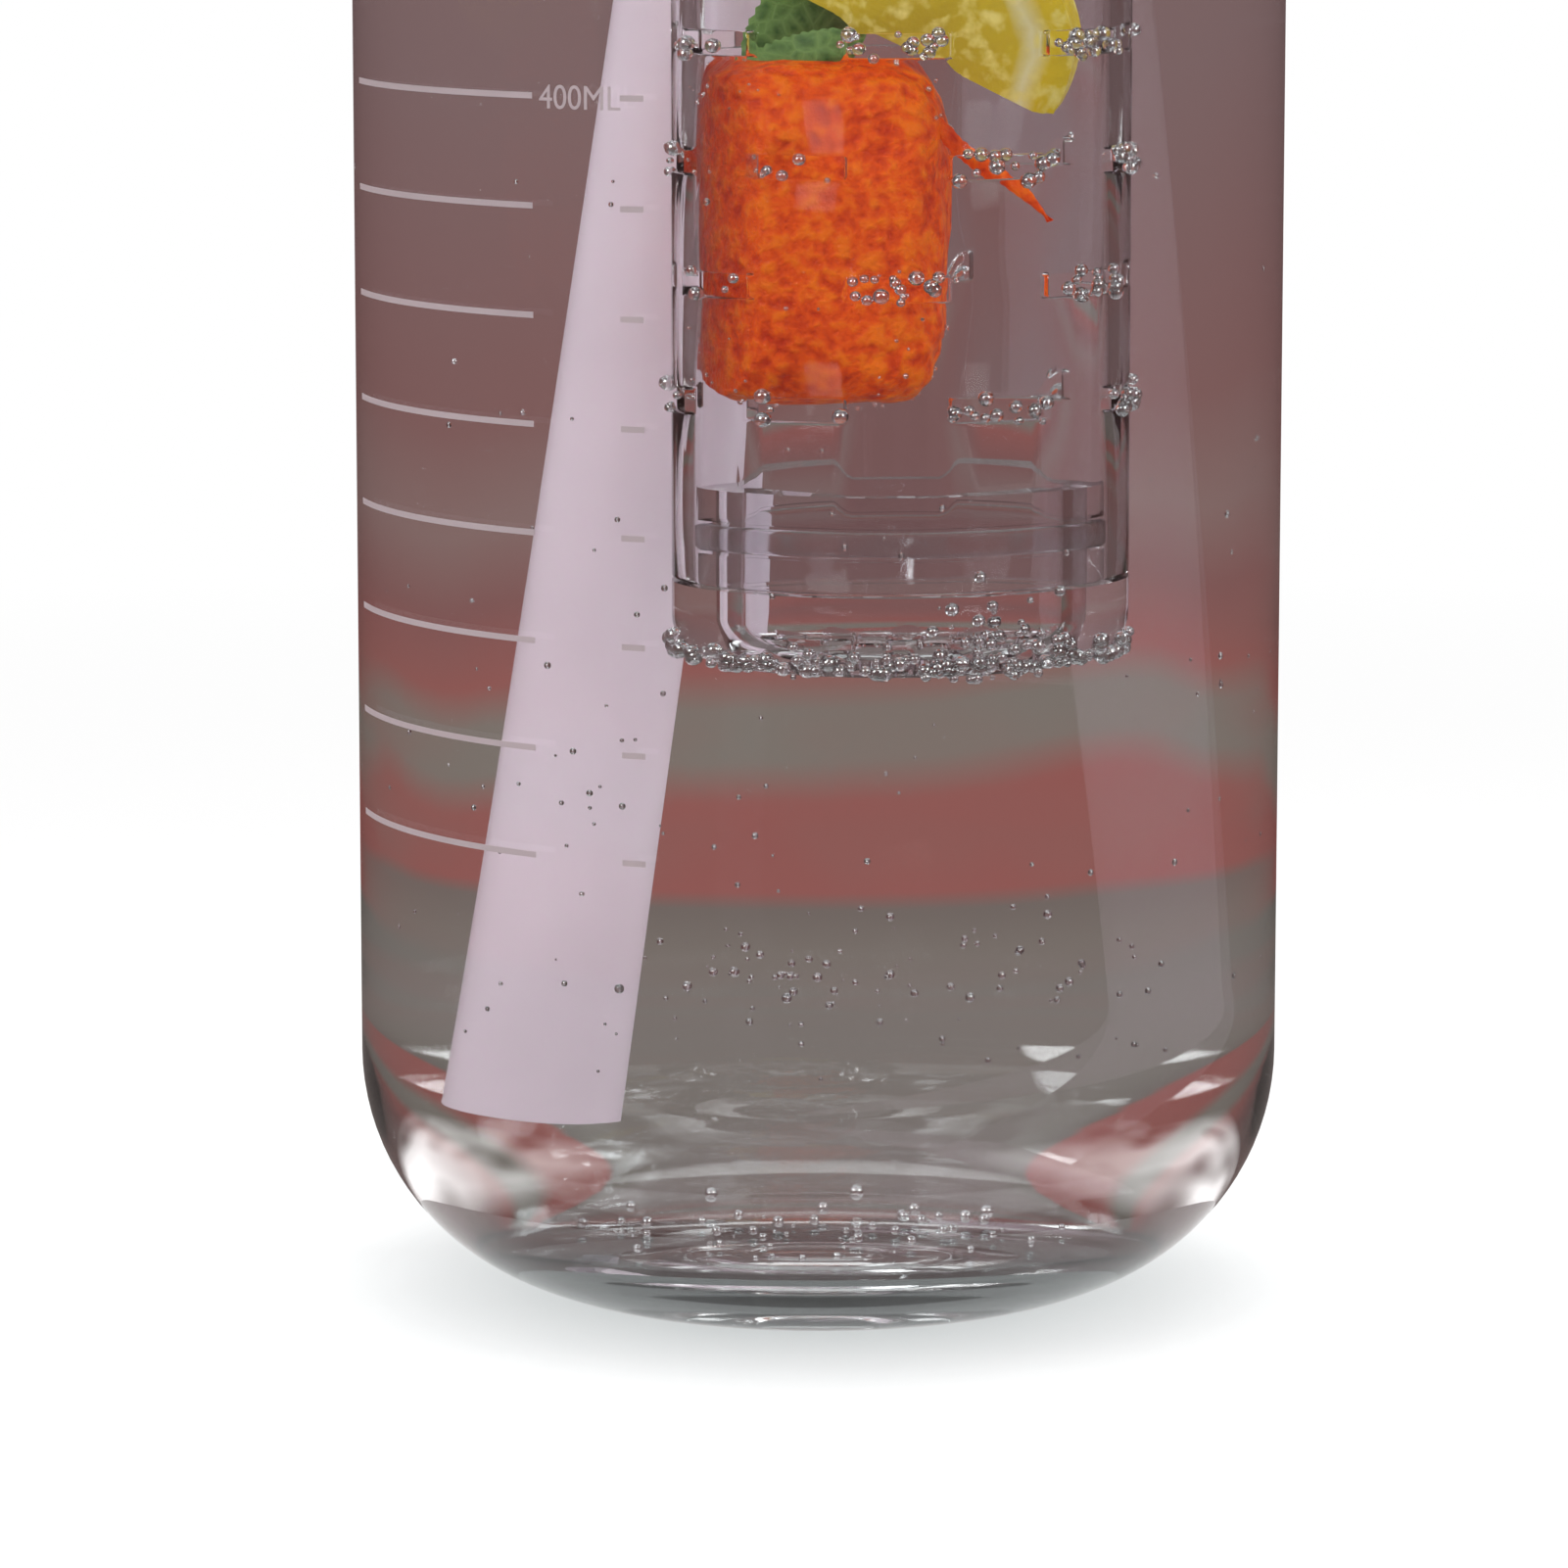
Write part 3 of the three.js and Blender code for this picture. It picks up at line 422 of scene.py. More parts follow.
def clear_material(name, colour, ior, waviness, roughness=(0.0, 0.03), metallic=0.0):
    """Polished clear plastic or water, with the slight waves of a moulding.

    Rays to the lamps pass it with a light tint, so what is inside it is lit.
    """
    material, graph = new_material(name)
    darker = tuple(0.985 * value for value in colour)
    graph.shade({
        "Transmission Weight": 1.0,
        "IOR": ior,
        "Metallic": metallic,
        "Base Color": graph.ramp(graph.noise(18, 2), [(0.3, darker), (0.7, colour)]),
        "Roughness": graph.spread(graph.noise(60, 4), *roughness),
    })
    if waviness:
        graph.bump(graph.noise(35, 1), waviness)
    to_lamp = graph.add("ShaderNodeLightPath").outputs["Is Shadow Ray"]
    passed = graph.add("ShaderNodeBsdfTransparent", {"Color": LAMP_TINT}).outputs["BSDF"]
    mix = graph.add("ShaderNodeMixShader", {"Fac": to_lamp, 1: graph.shader.outputs["BSDF"], 2: passed})
    graph.surface(mix.outputs["Shader"])
    return material


def moulded_material(name, colour, roughness, grain, soft=0.0):
    """Moulded plastic or silicone with a fine grain and slight changes of tone."""
    material, graph = new_material(name)
    paler = tuple(min(1.0, 1.06 * value) for value in colour)
    darker = tuple(0.92 * value for value in colour)
    graph.shade({
        "Base Color": graph.ramp(graph.noise(45, 4), [(0.25, darker), (0.5, colour), (0.8, paler)]),
        "Roughness": graph.spread(graph.noise(260, 5), 0.8 * roughness, 1.25 * roughness),
        "Subsurface Weight": soft,
        "Subsurface Radius": (2 * MM, 1.6 * MM, 2 * MM),
    })
    graph.bump(graph.noise(2600, 2), grain)
    return material


def steel_material(name):
    material, graph = new_material(name)
    streaks = graph.noise(900, 3)
    graph.shade({
        "Metallic": 1.0,
        "Base Color": graph.ramp(streaks, [(0.2, (0.5, 0.5, 0.52)), (0.8, (0.72, 0.72, 0.74))]),
        "Roughness": graph.spread(streaks, 0.18, 0.38),
    })
    graph.bump(streaks, 0.01 * MM)
    return material


CLEAR_BODY = clear_material("clear_body", (0.965, 0.975, 0.98), 1.5, 0.02 * MM)
CLEAR_INFUSER = clear_material("clear_infuser", (0.96, 0.965, 0.975), 1.15, 0.01 * MM)
CLEAR_SEAL = clear_material("clear_seal", (0.93, 0.93, 0.94), 1.12, 0.01 * MM, (0.08, 0.16))
WATER = clear_material("water", (0.972, 0.982, 0.98), 1.333, 0.0, (0.0, 0.004))
BUBBLE = clear_material("bubble", (0.99, 0.99, 0.995), 1.45, 0.0, (0.0, 0.04), metallic=0.35)
LILAC_LID = moulded_material("lilac_lid", (0.60, 0.46, 0.57), 0.42, 0.006 * MM, 0.05)
LILAC_TRIM = moulded_material("lilac_trim", (0.47, 0.34, 0.45), 0.45, 0.006 * MM, 0.05)
STRAW_LILAC = moulded_material("lilac_straw", (0.76, 0.61, 0.69), 0.32, 0.003 * MM, 0.25)
SILICONE = moulded_material("silicone", (0.78, 0.74, 0.79), 0.62, 0.004 * MM, 0.3)
PRINT = moulded_material("scale_print", (0.66, 0.54, 0.57), 0.5, 0.002 * MM)
STEEL = steel_material("steel")


# Bottle and water

def inside_profile(lap):
    """The bottle's inside from the neck down to the middle of the floor, set into the wall by lap."""
    bore = BODY_BORE + lap
    corner = FLOOR_CORNER
    floor = FLOOR_HEIGHT - lap
    shoulder_low = STRAIGHT_HEIGHT - BODY_WALL / 2
    return [
        *smooth_step(NECK_BORE + lap, shoulder_low + SHOULDER_RISE, bore, shoulder_low, 16),
        (bore, shoulder_low - WALL_EASE),
        (bore, floor + corner + WALL_EASE),
        *arc(bore - corner, floor + corner, corner, 0, -90, 16),
        (bore - corner * 1.25, floor + FLOOR_CROWN * 0.15),
        (0, floor + FLOOR_CROWN),
    ]


def underside_profile(steps=56):
    """The recess under the base with its raised rings, from the middle to the foot."""
    recess = BODY_RADIUS - BASE_CORNER - FOOT_WIDTH
    points = []
    for i in range(steps + 1):
        out = i / steps
        z = FOOT_RECESS * (1 - out ** 2)
        for ring in FOOT_RINGS:
            z -= FOOT_RING_HEIGHT * math.exp(-((out - ring) / FOOT_RING_WIDTH) ** 2)
        points.append((recess * out, max(0.0, z)))
    return points


def make_bottle():
    neck = NECK_BORE + NECK_WALL
    lip = RIM_BEVEL
    profile = [
        *underside_profile(),
        *arc(BODY_RADIUS - BASE_CORNER, BASE_CORNER, BASE_CORNER, -90, 0, 24),
        (BODY_RADIUS, BASE_CORNER + WALL_EASE),
        (BODY_RADIUS, STRAIGHT_HEIGHT - WALL_EASE),
        *smooth_step(BODY_RADIUS, STRAIGHT_HEIGHT, neck, STRAIGHT_HEIGHT + SHOULDER_RISE, 18),
        *arc(neck - lip, RIM_Z - lip, lip, 0, 90, 4),
        *arc(NECK_BORE + lip, RIM_Z - lip, lip, 90, 180, 4),
        *inside_profile(0.0),
    ]
    shell = lathe("bottle_shell", profile, 160, smooth_angle=50)
    put(shell, "bottle", CLEAR_BODY, ["bottle_body"])


def make_thread():
    """The thread round the neck that the lid screws on."""
    start_z, pitch, turns, height, depth = 210 * MM, 4 * MM, 2.2, 1.6 * MM, 0.5 * MM
    neck = NECK_BORE + NECK_WALL - 0.1 * MM
    ridge = ((0, -0.5), (1, -0.22), (1, 0.22), (0, 0.5))

    def section(t):
        run_out = max(0.05, min(1.0, 12 * t, 12 * (1 - t)))
        z = start_z + pitch * turns * t
        return [(neck + depth * out * run_out, z + up * height) for out, up in ridge]

    put(coil("neck_thread", turns, 220, section), "bottle", CLEAR_BODY)


def make_water():
    inside = [point for point in inside_profile(WATER_LAP) if point[1] < WATER_LEVEL]
    wall = inside[0][0]
    top = WATER_LEVEL - MENISCUS
    profile = [
        (0, WATER_LEVEL), (wall * 0.8, WATER_LEVEL), (wall - MENISCUS, WATER_LEVEL),
        (wall, top), (wall, top - WALL_EASE), *inside,
    ]
    put(lathe("water_fill", profile, 160, smooth_angle=50), "bottle", WATER)


# Scale on the wall, angles in degrees

MARK_FIRST_Z = 43.0 * MM
MARK_PITCH = 8.95 * MM
MARK_COUNT = 15
MARK_VOLUME = 50
MARK_LABELS = (7, 11)
MARK_LONG = (-77, -36)
MARK_SHORT = (-24, -21)
MARK_WIDTH = 0.5 * MM
MARK_PROUD = 0.03 * MM
LABEL_ANGLE = -35
LABEL_DROP = 1.0 * MM
LABEL_SIZE = 2.8 * MM


def wall_stroke(bm, from_angle, to_angle, z):
    """A thin printed stroke along the wall, closed on all sides."""
    steps = max(2, int(abs(to_angle - from_angle) / 1.5))
    low, high = z - MARK_WIDTH / 2, z + MARK_WIDTH / 2
    section = ((0, low), (0, high), (MARK_PROUD, high), (MARK_PROUD, low))
    rings = []
    for i in range(steps + 1):
        angle = from_angle + (to_angle - from_angle) * i / steps
        rings.append([facing(BODY_RADIUS + proud, angle, level) for proud, level in section])
    bridge(bm, rings, capped=True)


def wrap_text(words, z):
    """Generic volume figures, bent round the wall."""
    curve = bpy.data.curves.new("figures", "FONT")
    curve.body = words
    curve.size = LABEL_SIZE
    curve.extrude = MARK_PROUD / 2
    flat = add_object("figures", curve)
    bpy.context.view_layer.update()
    depsgraph = bpy.context.evaluated_depsgraph_get()
    mesh = bpy.data.meshes.new_from_object(flat.evaluated_get(depsgraph))
    bpy.data.objects.remove(flat)
    for vertex in mesh.vertices:
        along, up, out = vertex.co
        turn = LABEL_ANGLE + math.degrees(along / BODY_RADIUS)
        vertex.co = facing(BODY_RADIUS + out + MARK_PROUD / 2, turn, z + up)
    return mesh


def make_scale():
    bm = bmesh.new()
    for i in range(MARK_COUNT):
        z = MARK_FIRST_Z + MARK_PITCH * i
        wall_stroke(bm, *MARK_LONG, z)
        wall_stroke(bm, *MARK_SHORT, z)
        if i in MARK_LABELS:
            figures = wrap_text(f"{MARK_VOLUME * (i + 1)}ML", z - LABEL_DROP)
            bm.from_mesh(figures)
            bpy.data.meshes.remove(figures)
    put(from_bmesh("scale_marks", bm), "bottle", PRINT)


# Infuser

def slot_rows():
    return [SLOT_FIRST_Z + SLOT_PITCH * row for row in range(SLOT_ROWS)]


def in_slot(angle, row):
    """Whether an angle about the tube's axis lies in a slot of a row."""
    pitch = TAU / SLOT_COUNT
    centre = pitch * (row % 2) / 2
    off = (angle - centre + pitch / 2) % pitch - pitch / 2
    return abs(off) < SLOT_LENGTH / INFUSER_RADIUS / 2


def make_tube():
    """The tube's wall as a grid with the slots left open, then given its thickness."""
    columns = 144
    heights = [TUBE_LOW.z]
    for z in slot_rows():
        heights += [z - SLOT_HEIGHT / 2, z + SLOT_HEIGHT / 2]
    heights.append(TUBE_HIGH.z)
    places = revolve([(INFUSER_RADIUS, z) for z in heights], columns, INFUSER_AXIS)
    bm = bmesh.new()
    rings = [[bm.verts.new(place) for place in ring] for ring in places]
    for level, (low, high) in enumerate(zip(rings, rings[1:])):
        row = (level - 1) // 2
        is_slot_level = level % 2 == 1
        for i in range(columns):
            if is_slot_level and in_slot(TAU * (i + 0.5) / columns, row):
                continue
            j = (i + 1) % columns
            bm.faces.new([low[i], low[j], high[j], high[i]])
    tube = from_bmesh("infuser_tube_clear", bm)
    thick = tube.modifiers.new("wall", "SOLIDIFY")
    thick.thickness = INFUSER_WALL
    thick.offset = -1
    soften = tube.modifiers.new("edge", "BEVEL")
    soften.width = 0.25 * MM
    soften.segments = 2
    soften.limit_method = "ANGLE"
    soften.angle_limit = math.radians(50)
    settle(tube)
    shade(tube, 40)
    put(tube, "infuser", CLEAR_INFUSER, ["infuser_tube"])


def make_end_cap():
    corner, floor, wall = 4 * MM, 1.8 * MM, 2 * MM
    shoulder_z = TUBE_LOW.z - FIT
    spigot = INFUSER_BORE - PLAY
    groove = spigot - 0.9 * MM
    groove_low = TUBE_LOW.z + 2.65 * MM
    groove_high = groove_low + 2.7 * MM
    bottom, top = CAP_LOW.z, CAP_HIGH.z
    bore = groove - wall
    profile = [
        (0, bottom),
        *arc(INFUSER_RADIUS - corner, bottom + corner, corner, -90, 0, 10),
        (INFUSER_RADIUS, shoulder_z), (spigot, shoulder_z),
        (spigot, groove_low), (groove, groove_low), (groove, groove_high), (spigot, groove_high),
        (spigot, top), (bore, top),
        *arc(bore - wall, bottom + floor + wall, wall, 0, -90, 6),
        (0, bottom + floor),
    ]
    cap = lathe("infuser_end_cap_clear", profile, 96, INFUSER_AXIS)
    hole, hole_pitch, hole_rings = 1.2 * MM, 4.6 * MM, 3
    bm = bmesh.new()
    for ring in range(hole_rings):
        count = max(1, 6 * ring)
        for i in range(count):
            place = polar(hole_pitch * ring, TAU * i / count, bottom + floor / 2, INFUSER_AXIS)
            bmesh.ops.create_cone(
                bm, cap_ends=True, segments=20, radius1=hole, radius2=hole, depth=3 * floor,
                matrix=Matrix.Translation(place),
            )
    cut(cap, from_bmesh("holes", bm))
    shade(cap, 40)
    put(cap, "end_cap", CLEAR_INFUSER, ["infuser_end_cap"])


# Straw

STRAW_RADIUS = 4.7 * MM
STRAW_WALL = 1.0 * MM
STRAW_LEAN = math.radians(132)


def straw_path():
    """The straw's middle line: straight out of its socket, then leaning to the wall."""
    low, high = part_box("straw")
    top = Vector((0, low.y + STRAW_RADIUS, high.z))
    foot = polar(NECK_BORE - 0.9 * MM - STRAW_RADIUS, STRAW_LEAN, low.z + 0.38 * MM)
    bend = Vector((top.x, top.y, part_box("straw_sleeve")[0].z + FIT - STRAW_RADIUS))
    first = Vector((top.x, top.y, bend.z + (foot.z - bend.z) / 5))
    second = bend.lerp(foot, 0.5)
    straight = [top.lerp(bend, i / 6) for i in range(6)]
    return straight + [Vector(point) for point in bezier([bend, first, second, foot], 90)]


def make_straw():
    path = straw_path()
    outer, inner = [], []
    for i, point in enumerate(path):
        tangent = (path[min(i + 1, len(path) - 1)] - path[max(i - 1, 0)]).normalized()
        side = tangent.cross(Vector((0, 1, 0))).normalized()
        up = side.cross(tangent)
        for rings, radius in ((outer, STRAW_RADIUS), (inner, STRAW_RADIUS - STRAW_WALL)):
            section = revolve([(radius, 0)], 48)[0]
            rings.append([point + side * across.x + up * across.y for across in section])
    straw = skin("straw_tube", outer + inner[::-1], closed=True)
    put(straw, "lid", STRAW_LILAC, ["straw"])


# Fruit and leaf in the infuser

# Water is nearly as dense to light as wet fruit, so little gloss is left.
UNDER_WATER_GLOSS = 0.15
WET_ROUGHNESS = 0.3


def in_infuser(x, y, z):
    """A place in mm, from the infuser's axis and the table."""
    return Vector((INFUSER_AXIS[0] + x * MM, INFUSER_AXIS[1] + y * MM, z * MM))


ORANGE_PLACE = in_infuser(-6.0, -1.5, 93.6)
ORANGE_SIZE = Vector((9.0, 8.5, 14.2)) * MM
ORANGE_SQUARE = 0.42
ORANGE_REACH = INFUSER_BORE - PLAY
LEMON_PLACE = in_infuser(0.4, -1.5, 109.4)
LEMON_RADIUS = 12 * MM
LEMON_THICKNESS = 5 * MM
LEMON_RIM = 0.7 * MM
LEMON_TILT = Euler((math.radians(12), math.radians(29), 0)).to_matrix()
LEAF_THICKNESS = 0.25 * MM


def orange_material():
    """Cut orange flesh: juice sacs in deeper gaps, painted pale glints, painted deep red shade on one side.
    """
    material, graph = new_material("orange_flesh")
    sacs = graph.product(graph.noise(900, 6), 1.1)
    cloud = graph.product(graph.noise(240, 4), 0.45)
    flesh = graph.sums("ADD", sacs, cloud)
    shades = graph.ramp(flesh, [
        (0.56, (0.62, 0.03, 0.0)),
        (0.76, (0.9, 0.085, 0.0)),
        (0.94, (1.0, 0.17, 0.001)),
    ])
    # Painted highlight: pale speckles stand in for glints on the wet flesh.
    painted_glints = graph.share(graph.cells(420), 0.27, 0.2)
    light = graph.mix(painted_glints, shades, (1.0, 0.5, 0.25))
    # Painted shade: the flesh turns deep red towards its -X side.
    x = graph.add("ShaderNodeSeparateXYZ", {"Vector": graph.place()}).outputs["X"]
    lit = graph.share(x, ORANGE_PLACE.x - ORANGE_SIZE.x, ORANGE_PLACE.x - 0.45 * ORANGE_SIZE.x)
    graph.shade({
        "Base Color": graph.mix(lit, (0.28, 0.01, 0.001), light),
        "Roughness": WET_ROUGHNESS,
        "Specular IOR Level": UNDER_WATER_GLOSS,
    })
    graph.bump(flesh, 0.6 * MM)
    return material


def lemon_material():
    """Lemon slice: pale centre, wet flesh, white pith and a yellow rind, by distance from its middle."""
    material, graph = new_material("lemon_slice")
    grain = graph.noise(260, 5)
    out = graph.distance(graph.place(), LEMON_PLACE)
    uneven = graph.sums("MULTIPLY_ADD", grain, 1.6 * MM, out)
    shades = graph.ramp(graph.share(uneven, 0.0, LEMON_RADIUS + 0.8 * MM), [
        (0.1, (0.7, 0.55, 0.14)),
        (0.3, (0.52, 0.36, 0.02)),
        (0.72, (0.66, 0.46, 0.025)),
        (0.8, (0.82, 0.7, 0.36)),
        (0.9, (0.74, 0.5, 0.02)),
    ])
    drops = graph.share(graph.noise(700, 3), 0.5, 0.7)
    graph.shade({
        "Base Color": graph.mix(drops, shades, (0.9, 0.72, 0.2)),
        "Roughness": WET_ROUGHNESS,
        "Specular IOR Level": UNDER_WATER_GLOSS,
        "Subsurface Weight": 0.15,
        "Subsurface Radius": (2.5 * MM, 2 * MM, 0.5 * MM),
    })
    graph.bump(grain, 0.5 * MM)
    return material


def leaf_material():
    """Mint leaf with a paler net of veins."""
    material, graph = new_material("mint_leaf")
    veins = graph.cells(700, feature="DISTANCE_TO_EDGE")
    graph.shade({
        "Base Color": graph.ramp(veins, [
            (0.0, (0.16, 0.27, 0.07)),
            (0.18, (0.045, 0.115, 0.02)),
            (0.7, (0.02, 0.065, 0.012)),
        ]),
        "Roughness": 0.35,
        "Specular IOR Level": UNDER_WATER_GLOSS,
    })
    graph.bump(veins, 0.25 * MM)
    return material


def on_orange(unit):
    """A place on the chunk's squared round form, from its middle."""
    return Vector([math.copysign(abs(u) ** ORANGE_SQUARE, u) * size for u, size in zip(unit, ORANGE_SIZE)])


def make_orange():
    """A chunk of peeled orange, kept inside the tube."""
    bm = bmesh.new()
    bmesh.ops.create_icosphere(bm, subdivisions=6, radius=1)
    seed_place = Vector((3.1, 7.7, 1.9))
    for vertex in bm.verts:
        unit = vertex.co.normalized()
        place = on_orange(unit)
        lumps = noise.noise(place * 210 + seed_place) * 0.55 * MM
        sacs = noise.noise(place * 620 + seed_place) * 0.3 * MM
        place += unit * (lumps + sacs) + ORANGE_PLACE
        out = place.xy - Vector(INFUSER_AXIS)
        if out.length > ORANGE_REACH:
            place.xy -= out * (1 - ORANGE_REACH / out.length)
        vertex.co = place
    put(from_bmesh("orange_chunk", bm, 80), "infuser", orange_material())


def make_lemon():
    """Half a lemon slice, its cut edge facing down to the left."""
    steps, layers = 40, 14
    bm = bmesh.new()
    fronts, backs = [], []
    for ring in range(layers + 1):
        radius = LEMON_RADIUS * ring / layers
        rim = LEMON_RIM * max(0.0, ring / layers - 0.9) * 10
        for rows, side in ((fronts, -0.5), (backs, 0.5)):
            row = []
            for i in range(steps + 1):
                angle = math.pi * i / steps
                y = side * (LEMON_THICKNESS - 2 * rim)
                flat = Vector((radius * math.cos(angle), y, radius * math.sin(angle)))
                row.append(bm.verts.new(LEMON_TILT @ flat + LEMON_PLACE))
            rows.append(row)
    sheet(bm, fronts)
    sheet(bm, backs)
    sheet(bm, [fronts[-1], backs[-1]])
    for end in (0, steps):
        sheet(bm, [[row[end] for row in fronts], [row[end] for row in backs]])
    bmesh.ops.remove_doubles(bm, verts=bm.verts, dist=1e-6)
    put(from_bmesh("lemon_slice", bm, 40), "infuser", lemon_material())


def make_leaf(name, root, tip, width, curl, material):
    """A pointed leaf with a toothed edge, a fold along the midrib and some thickness."""
    along = tip - root
    side = along.cross(Vector((0, 1, 0))).normalized()
    out = side.cross(along).normalized()
    rows, columns = 36, 12
    bm = bmesh.new()
    grid = []
    for r in range(rows + 1):
        t = r / rows
        half = width * math.sin(math.pi * min(1.0, 0.03 + 0.97 * t) ** 0.8) ** 0.75
        half *= 1 + 0.09 * (1 - ((r * 0.5) % 1.0) * 2)
        row = []
        for c in range(columns + 1):
            s = 2 * c / columns - 1
            bend = curl * (math.sin(math.pi * t) * 0.6 + 0.5 * s * s + 0.12 * math.sin(9 * t + 3 * s))
            row.append(bm.verts.new(root + along * t + side * (s * half) + out * bend))
        grid.append(row)
    sheet(bm, grid)
    leaf = from_bmesh(name, bm, 60)
    leaf.modifiers.new("thickness", "SOLIDIFY").thickness = LEAF_THICKNESS
    settle(leaf)
    shade(leaf, 60)
    put(leaf, "infuser", material)


def make_fruit():
    make_orange()
    make_lemon()
    mint, peel = leaf_material(), orange_material()
    for name, root, tip, width, curl, material in (
        ("mint_leaf_front", (-12.6, -5.5, 104.0), (-2.5, -6.5, 110.5), 2.6, 1.4, mint),
        ("mint_leaf_back", (-10.5, -3.0, 107.5), (-1.0, -1.5, 116.0), 3.2, 1.6, mint),
        ("orange_peel_strip", (1.5, -6.0, 103.5), (10.6, -5.0, 94.6), 0.8, 0.6, peel),
    ):
        make_leaf(name, in_infuser(*root), in_infuser(*tip), width * MM, curl * MM, material)


# Bubbles

def sizes(chance, count, small, large):
    """Draws the radius of each bubble, given in mm, as it is asked for."""
    for _ in range(count):
        yield chance.uniform(small, large) * MM


def bubble_piece(name, spots, body):
    """Joins small spheres, each given by its place and radius, into one piece."""
    ball = bmesh.new()
    bmesh.ops.create_icosphere(ball, subdivisions=2, radius=1)
    ball.verts.index_update()
    corners = [vertex.co.copy() for vertex in ball.verts]
    sides = [[vertex.index for vertex in face.verts] for face in ball.faces]
    ball.free()
    points, faces = [], []
    for place, radius in spots:
        first = len(points)
        points += [place + corner * radius for corner in corners]
        faces += [[first + i for i in side] for side in sides]
    mesh = bpy.data.meshes.new(name)
    mesh.from_pydata(points, [], faces)
    bubbles = add_object(name, mesh)
    shade(bubbles, 80)
    put(bubbles, body, BUBBLE)


def on_tube(degrees, z, proud):
    return facing(INFUSER_RADIUS + proud, degrees, z, INFUSER_AXIS)


def make_infuser_bubbles():
    """Bubbles that cling to the end cap, along the slots under water and to the orange."""
    chance = random.Random(17)
    spots = []
    for size in sizes(chance, 150, 0.3, 0.75):
        drop = abs(chance.gauss(0, 0.8)) * MM
        inset = max(0.0, 0.75 * MM - drop * 0.35)
        place = on_tube(chance.uniform(-100, 100), CAP_LOW.z + 0.7 * MM + drop, size * 0.5 - inset)
        spots.append((place, size))
    for size in sizes(chance, 70, 0.2, 0.6):
        turn = chance.gauss(28, 12)
        spots.append((on_tube(turn, CAP_LOW.z + abs(chance.gauss(2.0, 2.6)) * MM, size * 0.4), size))
    bubble_piece("end_cap_bubbles", spots, "end_cap")
    spots = []
    pitch = 360 / SLOT_COUNT
    span = math.degrees(SLOT_LENGTH / INFUSER_RADIUS / 2)
    for row, z in enumerate(slot_rows()):
        if z > WATER_LEVEL:
            break
        for k in range(SLOT_COUNT):
            turn = pitch * (k + (row % 2) / 2) + 90
            is_seen = -20 < (turn + 180) % 360 - 180 < 100
            for size in sizes(chance, 16 if is_seen else 4, 0.28, 0.7):
                level = z + chance.uniform(-0.6, 0.6) * SLOT_HEIGHT
                spots.append((on_tube(turn + chance.uniform(-span, span), level, size * 0.4), size))
    for size in sizes(chance, 90, 0.1, 0.24):
        reach = Vector((chance.gauss(0, 1), chance.gauss(0, 1), chance.gauss(0, 1))).normalized()
        spots.append((ORANGE_PLACE + on_orange(reach) * 1.03, size))
    bubble_piece("infuser_bubbles", spots, "infuser")


def make_bottle_bubbles():
    """Bubbles on the bottle's inside wall and floor, and a few that rise through the water."""
    chance = random.Random(29)
    spots = []
    for size in sizes(chance, 150, 0.1, 0.32):
        angle = math.radians(chance.gauss(-90, 55))
        spots.append((polar(BODY_BORE - 0.9 * size, angle, (25 + abs(chance.gauss(0, 28))) * MM), size))
    for size in sizes(chance, 70, 0.12, 0.45):
        angle = math.radians(chance.gauss(-80, 22))
        spots.append((polar(BODY_BORE - size, angle, (33 + chance.gauss(0, 2.2)) * MM), size))
    for size in sizes(chance, 60, 0.12, 0.4):
        angle = chance.uniform(0, TAU)
        radius = chance.uniform(2, 21) * MM
        spots.append((polar(radius, angle, FLOOR_HEIGHT + FLOOR_CROWN + size), size))
    for size in sizes(chance, 50, 0.1, 0.28):
        angle = math.radians(chance.uniform(180, 360))
        radius = chance.uniform(24, 34) * MM
        spot = polar(radius, angle, chance.uniform(28 * MM, WATER_LEVEL - 2 * MM))
        if (spot.xy - Vector(INFUSER_AXIS)).length > INFUSER_RADIUS + 1.5 * MM:
            spots.append((spot, size))
    bubble_piece("bottle_bubbles", spots, "bottle")


# Lid sizes, which follow the frame's boxes

COLLAR_LOW, COLLAR_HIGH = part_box("lid_collar")
COLLAR_RADIUS = COLLAR_HIGH.x
SKIRT_BORE = COLLAR_RADIUS - 2.4 * MM
COLLAR_UNDER_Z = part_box("lid_gasket")[1].z + FIT
COVER_LOW, COVER_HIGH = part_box("flip_cover")
DECK_Z = COVER_LOW.z - PLAY
DECK_UNDER_Z = DECK_Z - 3 * MM
DECK_BEVEL = 1.5 * MM
SKIRT_BEVEL = 0.75 * MM
CHAMBER_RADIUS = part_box("lid_insert")[1].x + FIT
FLUTE_COUNT = 30
FLUTE_RADIUS = 1.5 * MM
FLUTE_DEPTH = 0.7 * MM
FLUTE_LOW = COLLAR_LOW.z + 2.5 * MM
FLUTE_HIGH = RIM_Z - 2.5 * MM
_, HINGE_Y, HINGE_Z = middle("cover_hinge_pin")
HINGE_BORE = half_size("cover_hinge_pin")[1] + PLAY
KNUCKLE_RADIUS = HINGE_BORE + 1.6 * MM
KNUCKLE_HALF = 5.9 * MM
EAR_WIDTH = 4 * MM
BUTTON_LOW, BUTTON_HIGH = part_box("push_button")
BUTTON_Y = middle("push_button")[1]
BUTTON_TRAVEL = 2 * MM
SPOUT_LOW, SPOUT_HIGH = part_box("drinking_spout")
SPOUT_Y = middle("drinking_spout")[1]
SPOUT_HOLE = 4.9 * MM
SLEEVE_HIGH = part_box("straw_sleeve")[1]
STRAW_Y = middle("straw_sleeve")[1]
VALVE_LOW, VALVE_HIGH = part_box("vent_valve")
VALVE_X, VALVE_Y, _ = middle("vent_valve")
HANDLE_PIN_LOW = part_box("handle_pin_right")[0]
HANDLE_Z = middle("handle_pin_right")[2]
HANDLE_PIN_RADIUS = half_size("handle_pin_right")[2]


# Lid

